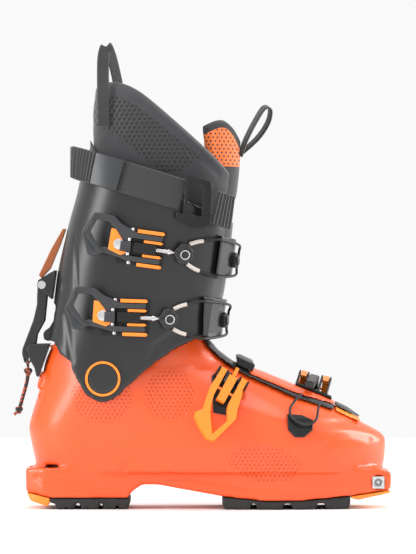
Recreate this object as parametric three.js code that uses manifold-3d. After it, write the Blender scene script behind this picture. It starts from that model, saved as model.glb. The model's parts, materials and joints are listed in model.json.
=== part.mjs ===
// A right-foot alpine touring boot, in millimetres.
// +X points to the toe, +Y to the inner side of the foot, +Z up.
// The origin is the centre of the heel tread, on the ground.
import * as THREE from 'three';
import { mergeVertices } from 'three/addons/utils/BufferGeometryUtils.js';
import Module from 'manifold-3d';

const wasm = await Module();
wasm.setup();

// ---------- driving dimensions ----------
const GAP = 0.4; // between pieces that touch
const SHELL_WALL = 4.5;
const CUFF_WALL = 3.2;
const LINER_WALL = 7;
const PIVOT = { x: 8.5, z: 108 }; // ankle hinge of the cuff
const PIVOT_HOLE = 6;
const SHELL_FLOOR = 33.5;
const SHELL_TOP = 148;
const SOLE_TOP = 34;
const TREAD_TOP = 8.8;
const LUG_ROOT = 4.6;
const NOTCH_HALF = 18; // slot at the back of the cuff
const NOTCH_TOP = 168;
const STRAP_TILT = THREE.MathUtils.degToRad(-17);
const STRAP_HEIGHT = 26;
const CABLE = 1.1; // cable radius
const LOCK_BOLT = { x: -43.2, z: 185.1 };
const LOCK_PIN = { x: -53.1, z: 129.7 };
const CORD_EYE = { x: -55.2, y: -9.4, z: 122.7 };
const CORD_RADIUS = 1.6;

// ---------- finishes ----------
function finish(color, roughness, metalness = 0) {
  return () => new THREE.MeshStandardMaterial({ color, roughness, metalness });
}
const orangeShell = finish(0xe2501e, 0.42);
const brightOrange = finish(0xf58a1f, 0.45);
const burntOrange = finish(0xa8480c, 0.5);
const blackPlastic = finish(0x232427, 0.45);
const greyPlastic = finish(0x3b3d40, 0.5);
const blackRubber = finish(0x1a1a1b, 0.8);
const webbing = finish(0x3a3a3d, 0.9);
const liningFabric = finish(0x2a2b2e, 0.95);
const meshFabric = finish(0xd9621e, 0.9);
const steel = finish(0xb9bcc0, 0.3, 1);
const blackSteel = finish(0x1c1c1e, 0.4, 0.8);

// ---------- closed solids ----------
function solid(geometry) {
  const bare = geometry.index ? geometry.toNonIndexed() : geometry.clone();
  bare.deleteAttribute('normal');
  bare.deleteAttribute('uv');
  const merged = mergeVertices(bare, 1e-4);
  const vertProperties = new Float32Array(merged.attributes.position.array);
  const triVerts = new Uint32Array(merged.index.array);
  return new wasm.Manifold(new wasm.Mesh({ numProp: 3, vertProperties, triVerts }));
}

function geometryOf(body) {
  const { vertProperties, triVerts } = body.getMesh();
  const geometry = new THREE.BufferGeometry();
  geometry.setAttribute('position', new THREE.BufferAttribute(vertProperties, 3));
  geometry.setIndex(new THREE.BufferAttribute(triVerts, 1));
  geometry.computeVertexNormals();
  return geometry;
}

const boot = new THREE.Group();
function add(name, body, makeMaterial) {
  const geometry = body.isBufferGeometry ? body : geometryOf(body);
  const mesh = new THREE.Mesh(geometry, makeMaterial());
  mesh.name = name;
  boot.add(mesh);
}

// A value that runs smoothly through hand-set [position, value] pairs.
function profile(pairs) {
  const last = pairs.length - 1;
  const slope = pairs.map((_, i) => {
    const a = pairs[Math.max(i - 1, 0)];
    const b = pairs[Math.min(i + 1, last)];
    return (b[1] - a[1]) / (b[0] - a[0]);
  });
  return (at) => {
    if (at <= pairs[0][0]) return pairs[0][1];
    if (at >= pairs[last][0]) return pairs[last][1];
    const i = pairs.findIndex((pair) => pair[0] > at) - 1;
    const span = pairs[i + 1][0] - pairs[i][0];
    const t = (at - pairs[i][0]) / span;
    const t2 = t * t;
    const t3 = t2 * t;
    return (2 * t3 - 3 * t2 + 1) * pairs[i][1] + (t3 - 2 * t2 + t) * span * slope[i]
      + (3 * t2 - 2 * t3) * pairs[i + 1][1] + (t3 - t2) * span * slope[i + 1];
  };
}

// Stacks rings of points, each counter-clockwise from above, lowest first, and closes both ends.
function loft(rings) {
  const count = rings[0].length;
  const points = rings.flat();
  const faces = [];
  rings.slice(1).forEach((_, k) => {
    for (let i = 0; i < count; i += 1) {
      const j = (i + 1) % count;
      const low = k * count;
      const high = low + count;
      faces.push(low + i, low + j, high + j, low + i, high + j, high + i);
    }
  });
  [rings[0], rings[rings.length - 1]].forEach((ring, end) => {
    const centre = ring.reduce((sum, p) => sum.add(p), new THREE.Vector3()).divideScalar(count);
    points.push(centre);
    const base = end * (rings.length - 1) * count;
    for (let i = 0; i < count; i += 1) {
      const j = (i + 1) % count;
      const edge = end ? [base + i, base + j] : [base + j, base + i];
      faces.push(points.length - 1, ...edge);
    }
  });
  const geometry = new THREE.BufferGeometry().setFromPoints(points);
  geometry.setIndex(faces);
  return geometry;
}

function outline(points, holes = []) {
  const shape = new THREE.Shape(points.map(([a, b]) => new THREE.Vector2(a, b)));
  holes.forEach((hole) => {
    shape.holes.push(new THREE.Path(hole.map(([a, b]) => new THREE.Vector2(a, b))));
  });
  return shape;
}

function circle(x, y, radius, count = 16) {
  return Array.from({ length: count }, (_, i) => {
    const angle = (2 * Math.PI * i) / count;
    return [x + radius * Math.cos(angle), y + radius * Math.sin(angle)];
  });
}

// A plate with an X-Z outline, between two values of Y.
function sidePlate(points, y0, y1, holes = []) {
  const options = { depth: y1 - y0, bevelEnabled: false };
  const geometry = new THREE.ExtrudeGeometry(outline(points, holes), options);
  return geometry.rotateX(Math.PI / 2).translate(0, y1, 0);
}

// A plate with an X-Y outline, between two heights.
function floorPlate(points, z0, z1) {
  const options = { depth: z1 - z0, bevelEnabled: false };
  return new THREE.ExtrudeGeometry(outline(points), options).translate(0, 0, z0);
}

function side(points, y0, y1, holes) {
  return solid(sidePlate(points, y0, y1, holes));
}

function box(x0, x1, y0, y1, z0, z1) {
  const geometry = new THREE.BoxGeometry(x1 - x0, y1 - y0, z1 - z0);
  return solid(geometry.translate((x0 + x1) / 2, (y0 + y1) / 2, (z0 + z1) / 2));
}

// A round bar along Y.
function crossBar(x, z, radius, y0, y1, sides = 20) {
  const geometry = new THREE.CylinderGeometry(radius, radius, y1 - y0, sides);
  return solid(geometry.translate(x, (y0 + y1) / 2, z));
}

// A round or flat section swept along a smooth path.
function swept(section, points, steps, closed = false) {
  const path = new THREE.CatmullRomCurve3(points, closed, 'centripetal');
  return new THREE.ExtrudeGeometry(outline(section), { steps, extrudePath: path });
}

function mirrored(body, make) {
  return make(-1).add(make(1));
}

const vec = (x, y, z) => new THREE.Vector3(x, y, z);
const smooth = (from, to, at) => THREE.MathUtils.smoothstep(at, from, to);
const rounded = (share) => Math.sqrt(1 - (1 - THREE.MathUtils.clamp(share, 0, 1)) ** 2);

// ---------- form of the lower shell ----------
const shellRear = profile([
  [30, -49.2], [36, -48.7], [55, -52.6], [67, -54], [80, -50.9], [92, -47.2], [100, -45],
  [108, -43], [116, -41.8], [124, -39.6], [132, -36], [140, -31], [148, -24],
]);
const shellFront = profile([
  [30, 240.5], [40, 242], [52, 242.8], [58, 242], [62, 238.5], [66, 232], [71, 222.5],
  [75.5, 217], [84.7, 201], [98.5, 167], [112.8, 132], [118.5, 116], [125.5, 106], [132, 98.5],
  [138.5, 94], [148, 89],
]);
const shellNose = profile([[30, 52], [50, 56], [60, 60], [70, 75], [88, 105], [110, 95], [130, 60], [148, 50]]);
const footPlan = profile([
  [-50, 33], [-30, 36], [0, 37.5], [30, 39.5], [60, 42], [100, 47], [140, 51.5], [165, 52],
  [190, 49.5], [215, 43.5], [232, 38], [243, 34],
]);
const footCentre = profile([[-50, 0], [60, 0], [150, 3], [243, 5.5]]);
const HEEL_ROUND = 40;

function shellHalf(x, z, inset) {
  const rear = shellRear(z) + inset;
  const front = shellFront(z + inset) - 0.6 * inset;
  const ankle = 12 * Math.exp(-(((x - PIVOT.x) / 35) ** 2) - ((z - 105) / 30) ** 2);
  const belly = footPlan(x) * (1 - 0.22 * smooth(70, 140, z)) * (0.93 + 0.07 * smooth(30, 52, z));
  const ends = rounded((x - rear) / HEEL_ROUND) * rounded((front - x) / shellNose(z));
  return (belly + ankle - inset) * ends;
}

function shellRing(z, inset, count) {
  const rear = shellRear(z) + inset;
  const front = shellFront(z + inset) - 0.6 * inset;
  return Array.from({ length: count }, (_, i) => {
    const angle = (2 * Math.PI * i) / count;
    const x = (rear + front) / 2 - ((front - rear) / 2) * Math.cos(angle);
    const y = footCentre(x) - Math.sign(Math.sin(angle)) * shellHalf(x, z, inset);
    return vec(x, y, z);
  });
}

const SHELL_LEVELS = [30, 36, 44, 53, 60, 67, 75, 84, 93, 102, 112, 122, 131, 140];

function shellSolid(inset, bottom, top, count = 30, skip = 1) {
  const between = SHELL_LEVELS.filter((z, i) => z > bottom + 1 && z < top - 1 && i % skip === 0);
  const levels = [bottom, ...between, top];
  return solid(loft(levels.map((z) => shellRing(z, inset, count))));
}

// A strip of even thickness lying on the lower shell, cut to a side-view outline.
function shellPatch(points, low, high, y0 = -70, y1 = 70) {
  const thick = shellSolid(-high, SOLE_TOP, SHELL_TOP + 2);
  const core = shellSolid(-low, SOLE_TOP - 2, SHELL_TOP + 4);
  return thick.subtract(core).intersect(side(points, y0, y1));
}

// ---------- form of the cuff ----------
const cuffRear = profile([
  [84, -50], [100, -50], [115, -47.5], [130, -43.5], [140, -39.5], [150, -37.2], [171.6, -33.5],
  [197, -30], [230, -22.5], [238, -20.5], [264, -13.5], [300, -7],
]);
const cuffFront = profile([
  [84, 102], [110, 103], [130, 103], [145, 102.5], [165, 105], [178, 108], [200, 111.5],
  [224, 114.5], [240, 116], [300, 118],
]);
const cuffHalf = profile([[84, 51], [108, 50.8], [150, 50.5], [190, 51], [230, 53.5], [265, 55], [300, 56]]);
const CUFF_POWER = 2.5;
const CUFF_LEVELS = [84, 100, 115, 130, 145, 165, 185, 208, 232, 264, 300];

// A rounded oval ring from its back, front and half width.
function ovalRing(z, rear, front, half, power, count) {
  return Array.from({ length: count }, (_, i) => {
    const angle = (2 * Math.PI * i) / count;
    const c = Math.cos(angle);
    const s = Math.sin(angle);
    const x = (rear + front) / 2 - ((front - rear) / 2) * Math.sign(c) * Math.abs(c) ** (2 / power);
    return vec(x, -half * Math.sign(s) * Math.abs(s) ** (2 / power), z);
  });
}

function cuffSolid(grow, bottom, top, count = 30) {
  const levels = [bottom, ...CUFF_LEVELS.filter((z) => z > bottom + 1 && z < top - 1), top];
  return solid(loft(levels.map((z) => ovalRing(
    z, cuffRear(z) - grow, cuffFront(z) + grow, cuffHalf(z) + grow, CUFF_POWER, count,
  ))));
}

function cuffPatch(points, low, high, y0, y1) {
  const ring = cuffSolid(high, 90, 298).subtract(cuffSolid(low, 88, 300));
  return ring.intersect(side(points, y0, y1));
}

// The outer side of the cuff, as a negative Y, with height above the surface.
function cuffSide(x, z, above = 0) {
  const rear = cuffRear(z) - above;
  const front = cuffFront(z) + above;
  const share = Math.min(Math.abs((2 * x - rear - front) / (front - rear)), 0.999);
  return -(cuffHalf(z) + above) * (1 - share ** CUFF_POWER) ** (1 / CUFF_POWER);
}

// A point on the front of the cuff at a given Y.
function cuffNose(y, z, above = 0) {
  const rear = cuffRear(z) - above;
  const front = cuffFront(z) + above;
  const share = (1 - Math.abs(y / (cuffHalf(z) + above)) ** CUFF_POWER) ** (1 / CUFF_POWER);
  return vec((rear + front) / 2 + ((front - rear) / 2) * share, y, z);
}

function shellSide(x, z, above = 0) {
  return footCentre(x) - shellHalf(x, z, -above);
}

// ---------- sole block, treads and fittings ----------
const soleHalf = profile([
  [-56, 25], [-50, 31], [-35, 34.5], [0, 34], [50, 31.5], [90, 36], [140, 43], [165, 43],
  [205, 37], [225, 34.5], [240, 34], [246.9, 31],
]);

function solePlan(inset, x0, x1) {
  const steps = 20;
  const xs = Array.from({ length: steps + 1 }, (_, i) => x0 + ((x1 - x0) * i) / steps);
  const outer = xs.map((x) => [x, footCentre(x) - soleHalf(x) + inset]);
  const inner = xs.map((x) => [x, footCentre(x) + soleHalf(x) - inset]);
  return [...outer, ...inner.reverse()];
}

function soleBlock() {
  const profileOfSide = [
    [-56, 33.6], [-55.6, 13.9], [-36, 9.4], [28.5, 9.2], [32, 14.1], [40.3, 19.9], [53.6, 19.9],
    [71.8, 16.6], [105, 10.8], [141.4, 7], [170.4, 7], [193.7, 9.1], [212.7, 10.8], [246.4, 15.8],
    [246.9, 30.3], [241, 31], [236, SOLE_TOP], [-45, SOLE_TOP],
  ];
  const block = solid(floorPlate(solePlan(0, -56, 246.9), 4, SOLE_TOP));
  return block.intersect(side(profileOfSide, -60, 60));
}

// Pockets under the boot board that lighten the heel and the forefoot.
function solePockets() {
  const heel = solid(floorPlate(solePlan(6, -40, 24), 15, SOLE_TOP + 2));
  const toe = solid(floorPlate(solePlan(8, 112, 220), 16, SOLE_TOP + 2));
  return heel.add(toe);
}

function tread(x0, x1, lugs) {
  const slab = solid(floorPlate(solePlan(1.2, x0, x1), 0, 30));
  const bars = lugs.flatMap(([a, b]) => [[a - 1.2, LUG_ROOT], [a, 0], [b, 0], [b + 1.2, LUG_ROOT]]);
  const top = x0 < 0 ? [[x1, TREAD_TOP], [x0, TREAD_TOP]]
    : [[x1, 10.3], [193.7, 8.6], [170.4, 6.6], [141.4, 6.6], [x0, 10.2]];
  return slab.intersect(side([[x0, LUG_ROOT], ...bars, [x1, LUG_ROOT], ...top], -60, 60));
}

function addSole() {
  add('heel_sole', tread(-35.5, 30.3, [
    [-30.2, -23.9], [-21, -15.6], [-9.6, -5.2], [-3, 4.4], [8.6, 18.4], [21.4, 29],
  ]), blackRubber);
  add('forefoot_sole', tread(106.6, 212.7, [
    [108, 129.8], [135.6, 156.4], [164.6, 183.7], [192.8, 211.4],
  ]), blackRubber);
  const heelPlan = solid(floorPlate(solePlan(0.8, -56, -35.9), 0, 30));
  add('heel_bumper', side([
    [-55.2, 13.4], [-52, 6.6], [-37.6, 2], [-35.9, 4.5], [-35.9, 9],
  ], -60, 60).intersect(heelPlan), brightOrange);
  const toePlan = solid(floorPlate(solePlan(0.8, 213.1, 246.5), 0, 30));
  add('toe_bumper', side([
    [213.1, 10.3], [213.1, 8.6], [219.3, 7.2], [246.2, 13], [246.4, 15.2],
  ], -60, 60).intersect(toePlan), brightOrange);
}

const TOE_SOCKET = { x: 235.8, z: 21.6 };
const TOE_BAR = { half: 5, centre: 5, reach: 34.5 };
function toeBarCut(grow) {
  const { half, centre, reach } = TOE_BAR;
  return box(TOE_SOCKET.x - half - grow, TOE_SOCKET.x + half + grow, centre - reach - grow * 5,
    centre + reach + grow * 5, TOE_SOCKET.z - half - grow, TOE_SOCKET.z + half + grow);
}

function addFittings() {
  const { centre, reach } = TOE_BAR;
  const socket = (sign) => {
    const cone = new THREE.CylinderGeometry(4, 1.6, 5, 16);
    if (sign < 0) cone.rotateX(Math.PI);
    return solid(cone.translate(TOE_SOCKET.x, centre + sign * (reach - 2), TOE_SOCKET.z));
  };
  add('toe_fitting', toeBarCut(0).subtract(socket(1)).subtract(socket(-1)), steel);
  const plate = box(-56.8, -53, -16, 16, 14.2, 32.6);
  const slot = (y) => box(-57, -54.6, y - 2.2, y + 2.2, 14, 28);
  add('heel_fitting', plate.subtract(slot(-9)).subtract(slot(9)), steel);
}

// ---------- lower shell ----------
function pivotHole(radius) {
  return crossBar(PIVOT.x, PIVOT.z, radius, -70, 70, 24);
}

function lowerShell() {
  const hollow = shellSolid(SHELL_WALL, SHELL_FLOOR, SHELL_TOP + 3, 24, 2);
  const spine = side([
    [-35.8, 136.3], [-45.5, 108.2], [-47, 103], [-47.4, 97], [-48, 90], [-38, 90], [-30, 136.3],
  ], -11.5, 11.5);
  return shellSolid(0, 30, SHELL_TOP).add(soleBlock()).add(spine)
    .subtract(hollow)
    .subtract(solePockets())
    .subtract(pivotHole(PIVOT_HOLE))
    .subtract(toeBarCut(0.3))
    .subtract(box(-60, -52.6, -16.4, 16.4, 13.9, 40));
}

function addShell() {
  add('lower_shell', lowerShell(), orangeShell);
  add('instep_flap', shellPatch([
    [130, 128], [129.6, 111.4], [165.6, 96.2], [200.5, 85.6], [202, 100], [160, 128],
  ], GAP, 3), orangeShell);
  add('instep_gasket', shellPatch([
    [88, 145], [95.4, 133.6], [103, 126], [113, 118.6], [126, 110.6], [165.6, 92.8], [199, 81.6],
    [200.2, 85.2], [165.6, 95.8], [129.2, 111.1], [129.6, 135], [97, 150],
  ], GAP, 2.4), blackRubber);
  add('toe_gasket', shellPatch([
    [200.9, 95], [200.9, 84.9], [211, 79.6], [221.4, 75], [226, 95],
  ], GAP, 3.2), blackRubber);
  add('toe_trim', shellPatch([
    [200.7, 84.3], [200.5, 80.8], [210, 76.4], [221, 71.2], [221.6, 74.6], [211, 79.2],
  ], GAP, 2), brightOrange);
  add('boot_board', shellSolid(SHELL_WALL + 1.2, SHELL_FLOOR + GAP, SHELL_FLOOR + 4, 28), greyPlastic);
}

// ---------- cuff ----------
function lobeArc(radius, from, to, count) {
  return Array.from({ length: count }, (_, i) => {
    const angle = THREE.MathUtils.degToRad(from + ((to - from) * i) / (count - 1));
    return [PIVOT.x + radius * Math.cos(angle), PIVOT.z + radius * Math.sin(angle)];
  });
}

const CUFF_OUTLINE = [
  [-60, 299], [-60, 138], [-32.9, 138.6], [-26.9, 127.2], [-18.3, 121.5], [-17, 114],
  ...lobeArc(19.5, 205, 328, 10), [43.2, 114.4], [66, 131], [86.4, 140.9], [102.5, 145.1],
  [140, 145.1], [140, 226], [-12, 297],
];

function addCuff() {
  const slot = box(80, 140, 8, 9.2, 80, 310);
  const notch = box(-70, 0, -NOTCH_HALF, NOTCH_HALF, 80, NOTCH_TOP);
  const body = cuffSolid(0, 84, 300).subtract(cuffSolid(-CUFF_WALL, 82, 302))
    .intersect(side(CUFF_OUTLINE, -70, 70))
    .subtract(slot).subtract(notch).subtract(pivotHole(PIVOT_HOLE + GAP));
  add('cuff', body, blackPlastic);
  add('spoiler', cuffSolid(-3.6, 284, 306).subtract(cuffSolid(-5.2, 282, 308))
    .intersect(side([[-20, 284], [-20, 306], [-3, 306], [8, 284]], -28, 28)), blackPlastic);
}

// The hinge pins press into the shell and the cuff turns on them.
function addPivots() {
  [['lateral', -1], ['medial', 1]].forEach(([name, sign]) => {
    const face = 52.2;
    const profilePoints = [[0, 41.2], [5.7, 41.2], [5.7, face], [12, face], [12, face + 1.8], [9.5, face + 2.4],
      [0, face + 2.4]].map(([r, y]) => new THREE.Vector2(r, y));
    const pin = new THREE.LatheGeometry(profilePoints, 24);
    const ring = new THREE.LatheGeometry([[12.5, face], [14.5, face], [14.5, face + 2], [12.5, face + 2],
      [12.5, face]].map(([r, y]) => new THREE.Vector2(r, y)), 28);
    [pin, ring].forEach((piece) => {
      if (sign < 0) piece.rotateX(Math.PI);
      piece.translate(PIVOT.x, 0, PIVOT.z);
    });
    add(`pivot_pin_${name}`, solid(pin), blackPlastic);
    add(`pivot_ring_${name}`, solid(ring), brightOrange);
  });
}

// ---------- liner ----------
const linerRear = profile([[165, -26], [200, -25], [230, -17.8], [264, -8], [290, -2], [300, -0.6], [318, -1.2], [334, -0.6],
  [355, 2.6]]);
const linerFront = profile([[165, 98], [200, 106], [226, 110], [250, 114], [268, 118], [355, 118]]);
const linerHalf = profile([[165, 45.5], [200, 46.5], [264, 50], [300, 49.5], [330, 46.5], [355, 42]]);

function linerSolid(inset, bottom, top) {
  const levels = [bottom, 200, 230, 264, 300, 336, top];
  return solid(loft(levels.map((z) => ovalRing(
    z, linerRear(z) + inset, linerFront(z) - inset, linerHalf(z) - inset, 2.4, 24,
  ))));
}

const COLLAR = [
  [-30, 353.5], [14.6, 353], [26, 350.5], [38.6, 344], [51.9, 334], [65, 323.3], [83.8, 307.6],
  [100.5, 293], [109.5, 283], [114, 269], [114, 165], [-30, 165],
];

const tongueFront = profile([[190, 90], [215, 100], [236, 107], [250, 115], [262, 119], [300, 121.8], [324, 118]]);
function tongueSolid(inset, bottom, top) {
  const levels = [bottom, 215, 236, 262, 300, top];
  return solid(loft(levels.map((z) => ovalRing(z, 10, tongueFront(z) - inset, 35 - inset, 2.4, 22))));
}

function addLiner() {
  const front = box(60, 130, -25, 25, 175, 330);
  add('liner_cuff', linerSolid(0, 170, 355).subtract(linerSolid(LINER_WALL, 168, 357))
    .intersect(side(COLLAR, -70, 70)).subtract(front).subtract(tongueSolid(-0.8, 176, 326)), liningFabric);
  const inset = SHELL_WALL + 1.6;
  add('liner_foot', shellSolid(inset, SHELL_FLOOR + 4.6, 146, 24, 2)
    .subtract(shellSolid(inset + 4, SHELL_FLOOR + 9, 150, 20, 2)), liningFabric);
  add('tongue', tongueSolid(0, 196, 322).subtract(tongueSolid(6, 194, 324))
    .intersect(side([[78, 190], [140, 190], [140, 300], [121, 306], [116, 317], [108.8, 321.8],
      [97, 318.5], [86, 311.5], [78, 300]], -60, 60)), meshFabric);
}

function addPullLoops() {
  const flat = (a, b) => [[-a, -b], [a, -b], [a, b], [-a, b]];
  add('rear_pull_loop', solid(swept(flat(1, 5), [
    vec(9, -38.6, 318), vec(8.6, -38.4, 336), vec(8, -34, 358), vec(8.2, -31.5, 374), vec(10, -28.6, 381.4),
    vec(13, -25, 378), vec(17, -22, 364), vec(20, -21.5, 354.2),
  ], 22)), webbing);
  add('front_pull_loop', solid(swept(flat(5, 1), [
    vec(123.4, -6, 296), vec(126, -6, 305), vec(134, -5, 321), vec(142, -3, 333), vec(146.4, 0, 330.5),
    vec(144, 3, 321), vec(136, 5, 308), vec(124.6, 6, 297),
  ], 22)), webbing);
}

// ---------- power strap ----------
function strapRing(thin, thick, points, y0, y1) {
  const ring = (grow) => ovalRing(220, -17.5 - grow, 125 + grow, 57.2 + grow, CUFF_POWER, 40);
  const band = (grow, a, b) => solid(loft([a, b].map((z) => ring(grow).map((p) => vec(p.x, p.y, z)))));
  return band(thick, 220, 310).subtract(band(thin, 218, 312)).intersect(side(points, y0, y1));
}

const strapLine = (x, z0) => z0 + Math.tan(STRAP_TILT) * x;
function strapBand(x0, x1, height = STRAP_HEIGHT, middle = 281.5) {
  const rise = height / 2 / Math.cos(STRAP_TILT);
  return [[x0, strapLine(x0, middle - rise)], [x1, strapLine(x1, middle - rise)],
    [x1, strapLine(x1, middle + rise)], [x0, strapLine(x0, middle + rise)]];
}

function addStrap() {
  const gapForBuckle = side([[74, 200], [150, 200], [150, 330], [74, 330]], -80, 30);
  add('power_strap', strapRing(0, 2.6, strapBand(-40, 140), -70, 70).subtract(gapForBuckle), webbing);
  add('strap_pad', strapRing(3, 5.2, strapBand(1, 23, STRAP_HEIGHT + 0.6), -70, 0), greyPlastic);
  add('strap_tail', strapRing(0, 3.2, [[99.5, 268], [99.5, 238], [112, 232], [140, 229], [140, 271], [116, 267]],
    -70, 29.4), webbing);
  const frame = [[76.5, 276], [98, 269.5], [98.5, 262], [97, 234], [88, 231], [69, 239.5], [68.5, 245],
    [74.6, 243]];
  add('strap_buckle', strapRing(3, 7, frame, -70, 0)
    .subtract(side([[79, 270.5], [91.5, 266.5], [90, 240.5], [77.5, 245]], -80, 0)), blackPlastic);
}

// ---------- ski and walk lock ----------
function bothCheeks(points, inner, outer) {
  return side(points, -outer, -inner).add(side(points, inner, outer));
}

function addWalkLock() {
  const bolt = LOCK_BOLT;
  const bracketSide = [[-34.4, 172.6], [-31, 197.2], [-36, 195.4], [-46.2, 189], [-47.4, 184.4], [-44, 180.6],
    [-39.4, 177]];
  const bracketWeb = [[-34.4, 172.6], [-31, 197.2], [-33.6, 197.2], [-37, 174.6]];
  add('lever_bracket', bothCheeks(bracketSide, 11.4, 13.6).add(side(bracketWeb, -13.6, 13.6))
    .subtract(crossBar(bolt.x, bolt.z, 2.7, -20, 20)), blackPlastic);
  add('lever_bolt', crossBar(bolt.x, bolt.z, 2.3, -14.6, 14.6).add(crossBar(bolt.x, bolt.z, 3.4, -16, -14))
    .add(crossBar(bolt.x, bolt.z, 3.4, 14, 16)), steel);
  add('leaf_strip', side([[-23.2, 231.6], [-26, 232], [-36, 214.5], [-46.2, 193], [-43.6, 190.4],
    [-36, 198.8], [-27.6, 219]], -4.2, 4.2), burntOrange);
  const leverSide = [[-46.8, 188], [-47.4, 168.7], [-50.4, 155.9], [-59.5, 131.8], [-59.8, 127.5],
    [-57.8, 120.3], [-54.2, 119.4], [-51.5, 123], [-48, 136.8], [-47, 144], [-40.8, 155.3], [-38.6, 176.9],
    [-39.5, 187.4]];
  const leverWeb = [[-47.3, 177], [-47.4, 168.7], [-50.4, 155.9], [-59.5, 131.8], [-59.8, 127.5],
    [-57.4, 127.5], [-57.2, 131.2], [-48.2, 155.2], [-45.2, 168.4], [-45.1, 177]];
  add('lock_lever', bothCheeks(leverSide, 8.2, 10.6).add(side(leverWeb, -10.6, 10.6))
    .subtract(crossBar(bolt.x, bolt.z, 2.7, -20, 20))
    .subtract(crossBar(LOCK_PIN.x, LOCK_PIN.z, 2.5, -20, 20))
    .subtract(crossBar(CORD_EYE.x, CORD_EYE.z, 2, -20, 20, 12)), blackPlastic);
  add('lock_pin', crossBar(LOCK_PIN.x, LOCK_PIN.z, 2.1, -11.9, 11.9), steel);
  const anchorSide = [[-53.7, 135.7], [-36.4, 136.3], [-46.1, 108.4], [-47.8, 109.4], [-49.3, 116.1],
    [-52.8, 122.4], [-56, 131]];
  const anchorWeb = [[-36.4, 136.3], [-46.1, 108.4], [-47.8, 109.4], [-39, 136.2]];
  add('rear_bracket', bothCheeks(anchorSide, 12.4, 14.8).add(side(anchorWeb, -14.8, 14.8)), blackPlastic);
  add('spine_arm', side([[-42.4, 144], [-41.6, 139.6], [-38, 138.1], [-34.4, 139.8], [-32.6, 144],
    [-27.4, 156.4], [-31.4, 159.4], [-37, 149.6], [-41, 146.8]], -6, 6), blackPlastic);
}

// The pull cord hangs from the eye of the lock lever: eye loop, knot, doubled run, end knot.
const ROUND_8 = circle(0, 0, CORD_RADIUS, 8);
function knot(x, z, radius) {
  return solid(new THREE.SphereGeometry(radius, 12, 8).translate(x, CORD_EYE.y, z));
}

function addPullCord() {
  const { x, y, z } = CORD_EYE;
  add('cord_eye', solid(swept(circle(0, 0, 1.1, 8), [
    vec(x + 0.4, y - 1.6, 117.1), vec(x + 0.2, y - 3.4, 119.8), vec(x, y - 2.6, z + 0.2), vec(x, y, z + 0.5),
    vec(x, y + 2.6, z + 0.2), vec(x + 0.2, y + 3.4, 119.8), vec(x + 0.4, y + 1.6, 117.1),
  ], 14)), webbing);
  add('cord_knot_upper', knot(-54.7, 112.9, 3.7), webbing);
  add('pull_cord', solid(swept(ROUND_8, [
    vec(-55, y, 108.8), vec(-56.6, y, 101), vec(-59, y, 92.5), vec(-61, y, 85.1),
  ], 8)), webbing);
  add('cord_knot_lower', knot(-62.2, 81.2, 3.4)
    .add(solid(swept(circle(0, 0, 1.2, 8), [vec(-63, y, 80.6), vec(-65, y, 78.6), vec(-66.6, y, 76.6)], 3))),
  webbing);
}

// ---------- buckles ----------
// A frame on a surface: u runs to the catch, w stands out of the surface, v across.
function frameAt(origin, along, out) {
  const w = out.clone().normalize();
  const u = along.clone().addScaledVector(w, -along.dot(w)).normalize();
  const v = w.clone().cross(u);
  return new THREE.Matrix4().makeBasis(u, v, w).setPosition(origin);
}

function plate(frame, points, w0, w1, holes = []) {
  const options = { depth: w1 - w0, bevelEnabled: false };
  const geometry = new THREE.ExtrudeGeometry(outline(points, holes), options);
  return solid(geometry.translate(0, 0, w0).applyMatrix4(frame));
}

// A round bar across a buckle, along v.
function crossPin(frame, u, w, radius, v0, v1) {
  const geometry = new THREE.CylinderGeometry(radius, radius, v1 - v0, 14);
  return solid(geometry.translate(u, (v0 + v1) / 2, w).applyMatrix4(frame));
}

// A round bar along u.
function longPin(frame, v, w, radius, u0, u1) {
  const geometry = new THREE.CylinderGeometry(radius, radius, u1 - u0, 12).rotateZ(Math.PI / 2);
  return solid(geometry.translate((u0 + u1) / 2, v, w).applyMatrix4(frame));
}

const rect = (a, b, c, d) => [[a, c], [b, c], [b, d], [a, d]];
const LUG_V = [[5, 6.6], [12.4, 14], [-6.6, -5], [-14, -12.4]];
const HINGE_W = 6.4; // lever hinge above the surface
const BAIL_U = -14; // bail hinge behind the lever hinge

const PIN_ENDS = [[4.8, 14.2], [-14.2, -4.8]];

// A base plate with two pairs of lugs, each holding a hinge pin.
function buckleBase(frame, surface, root) {
  const lugs = LUG_V.map(([v0, v1]) => {
    const sheet = new THREE.ExtrudeGeometry(outline([[-4, -root], [4.6, -root], [3.4, 8.6], [-2.6, 8.6]]), {
      depth: v1 - v0, bevelEnabled: false,
    });
    return solid(sheet.rotateX(Math.PI / 2).translate(0, v1, 0).applyMatrix4(frame));
  });
  const pins = PIN_ENDS.map(([v0, v1]) => crossPin(frame, 0, HINGE_W, 1.2, v0, v1));
  return [...lugs, ...pins].reduce((all, piece) => all.add(piece), surface);
}

const CUFF_LEVER = [
  [-56, 23.8], [-64, 6.4], [-57, -11], [-49.4, -11.6], [-45.6, -7.8], [-33.8, -9.6], [-24.9, -12],
  [2.6, -12], [2.6, -7], [-23, -7], [-23, 7], [2.6, 7], [2.6, 12], [-18.8, 12.4], [-26, 15.3], [-32.5, 18],
  [-38.9, 23.2], [-52.8, 24.2],
];
const CUFF_LEVER_WINDOW = [[-53, 18.6], [-58, 6.6], [-52, -5.6], [-44, -2.6], [-35, -3.4], [-37, 12], [-42, 17.8]];

function cableLoop(points, radius) {
  return solid(swept(circle(0, 0, radius, 6), points, 34));
}

// A forked lever that turns on the base's pins and carries the bail's cross pin.
function buckleLever(frame, points, windows) {
  return PIN_ENDS.reduce(
    (lever, [a, b]) => lever.subtract(crossPin(frame, 0, HINGE_W, 1.6, a, b)),
    plate(frame, points, 3.6, 8.6, windows),
  ).add(crossPin(frame, BAIL_U, HINGE_W, 1.2, -7.4, 7.4));
}

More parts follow.
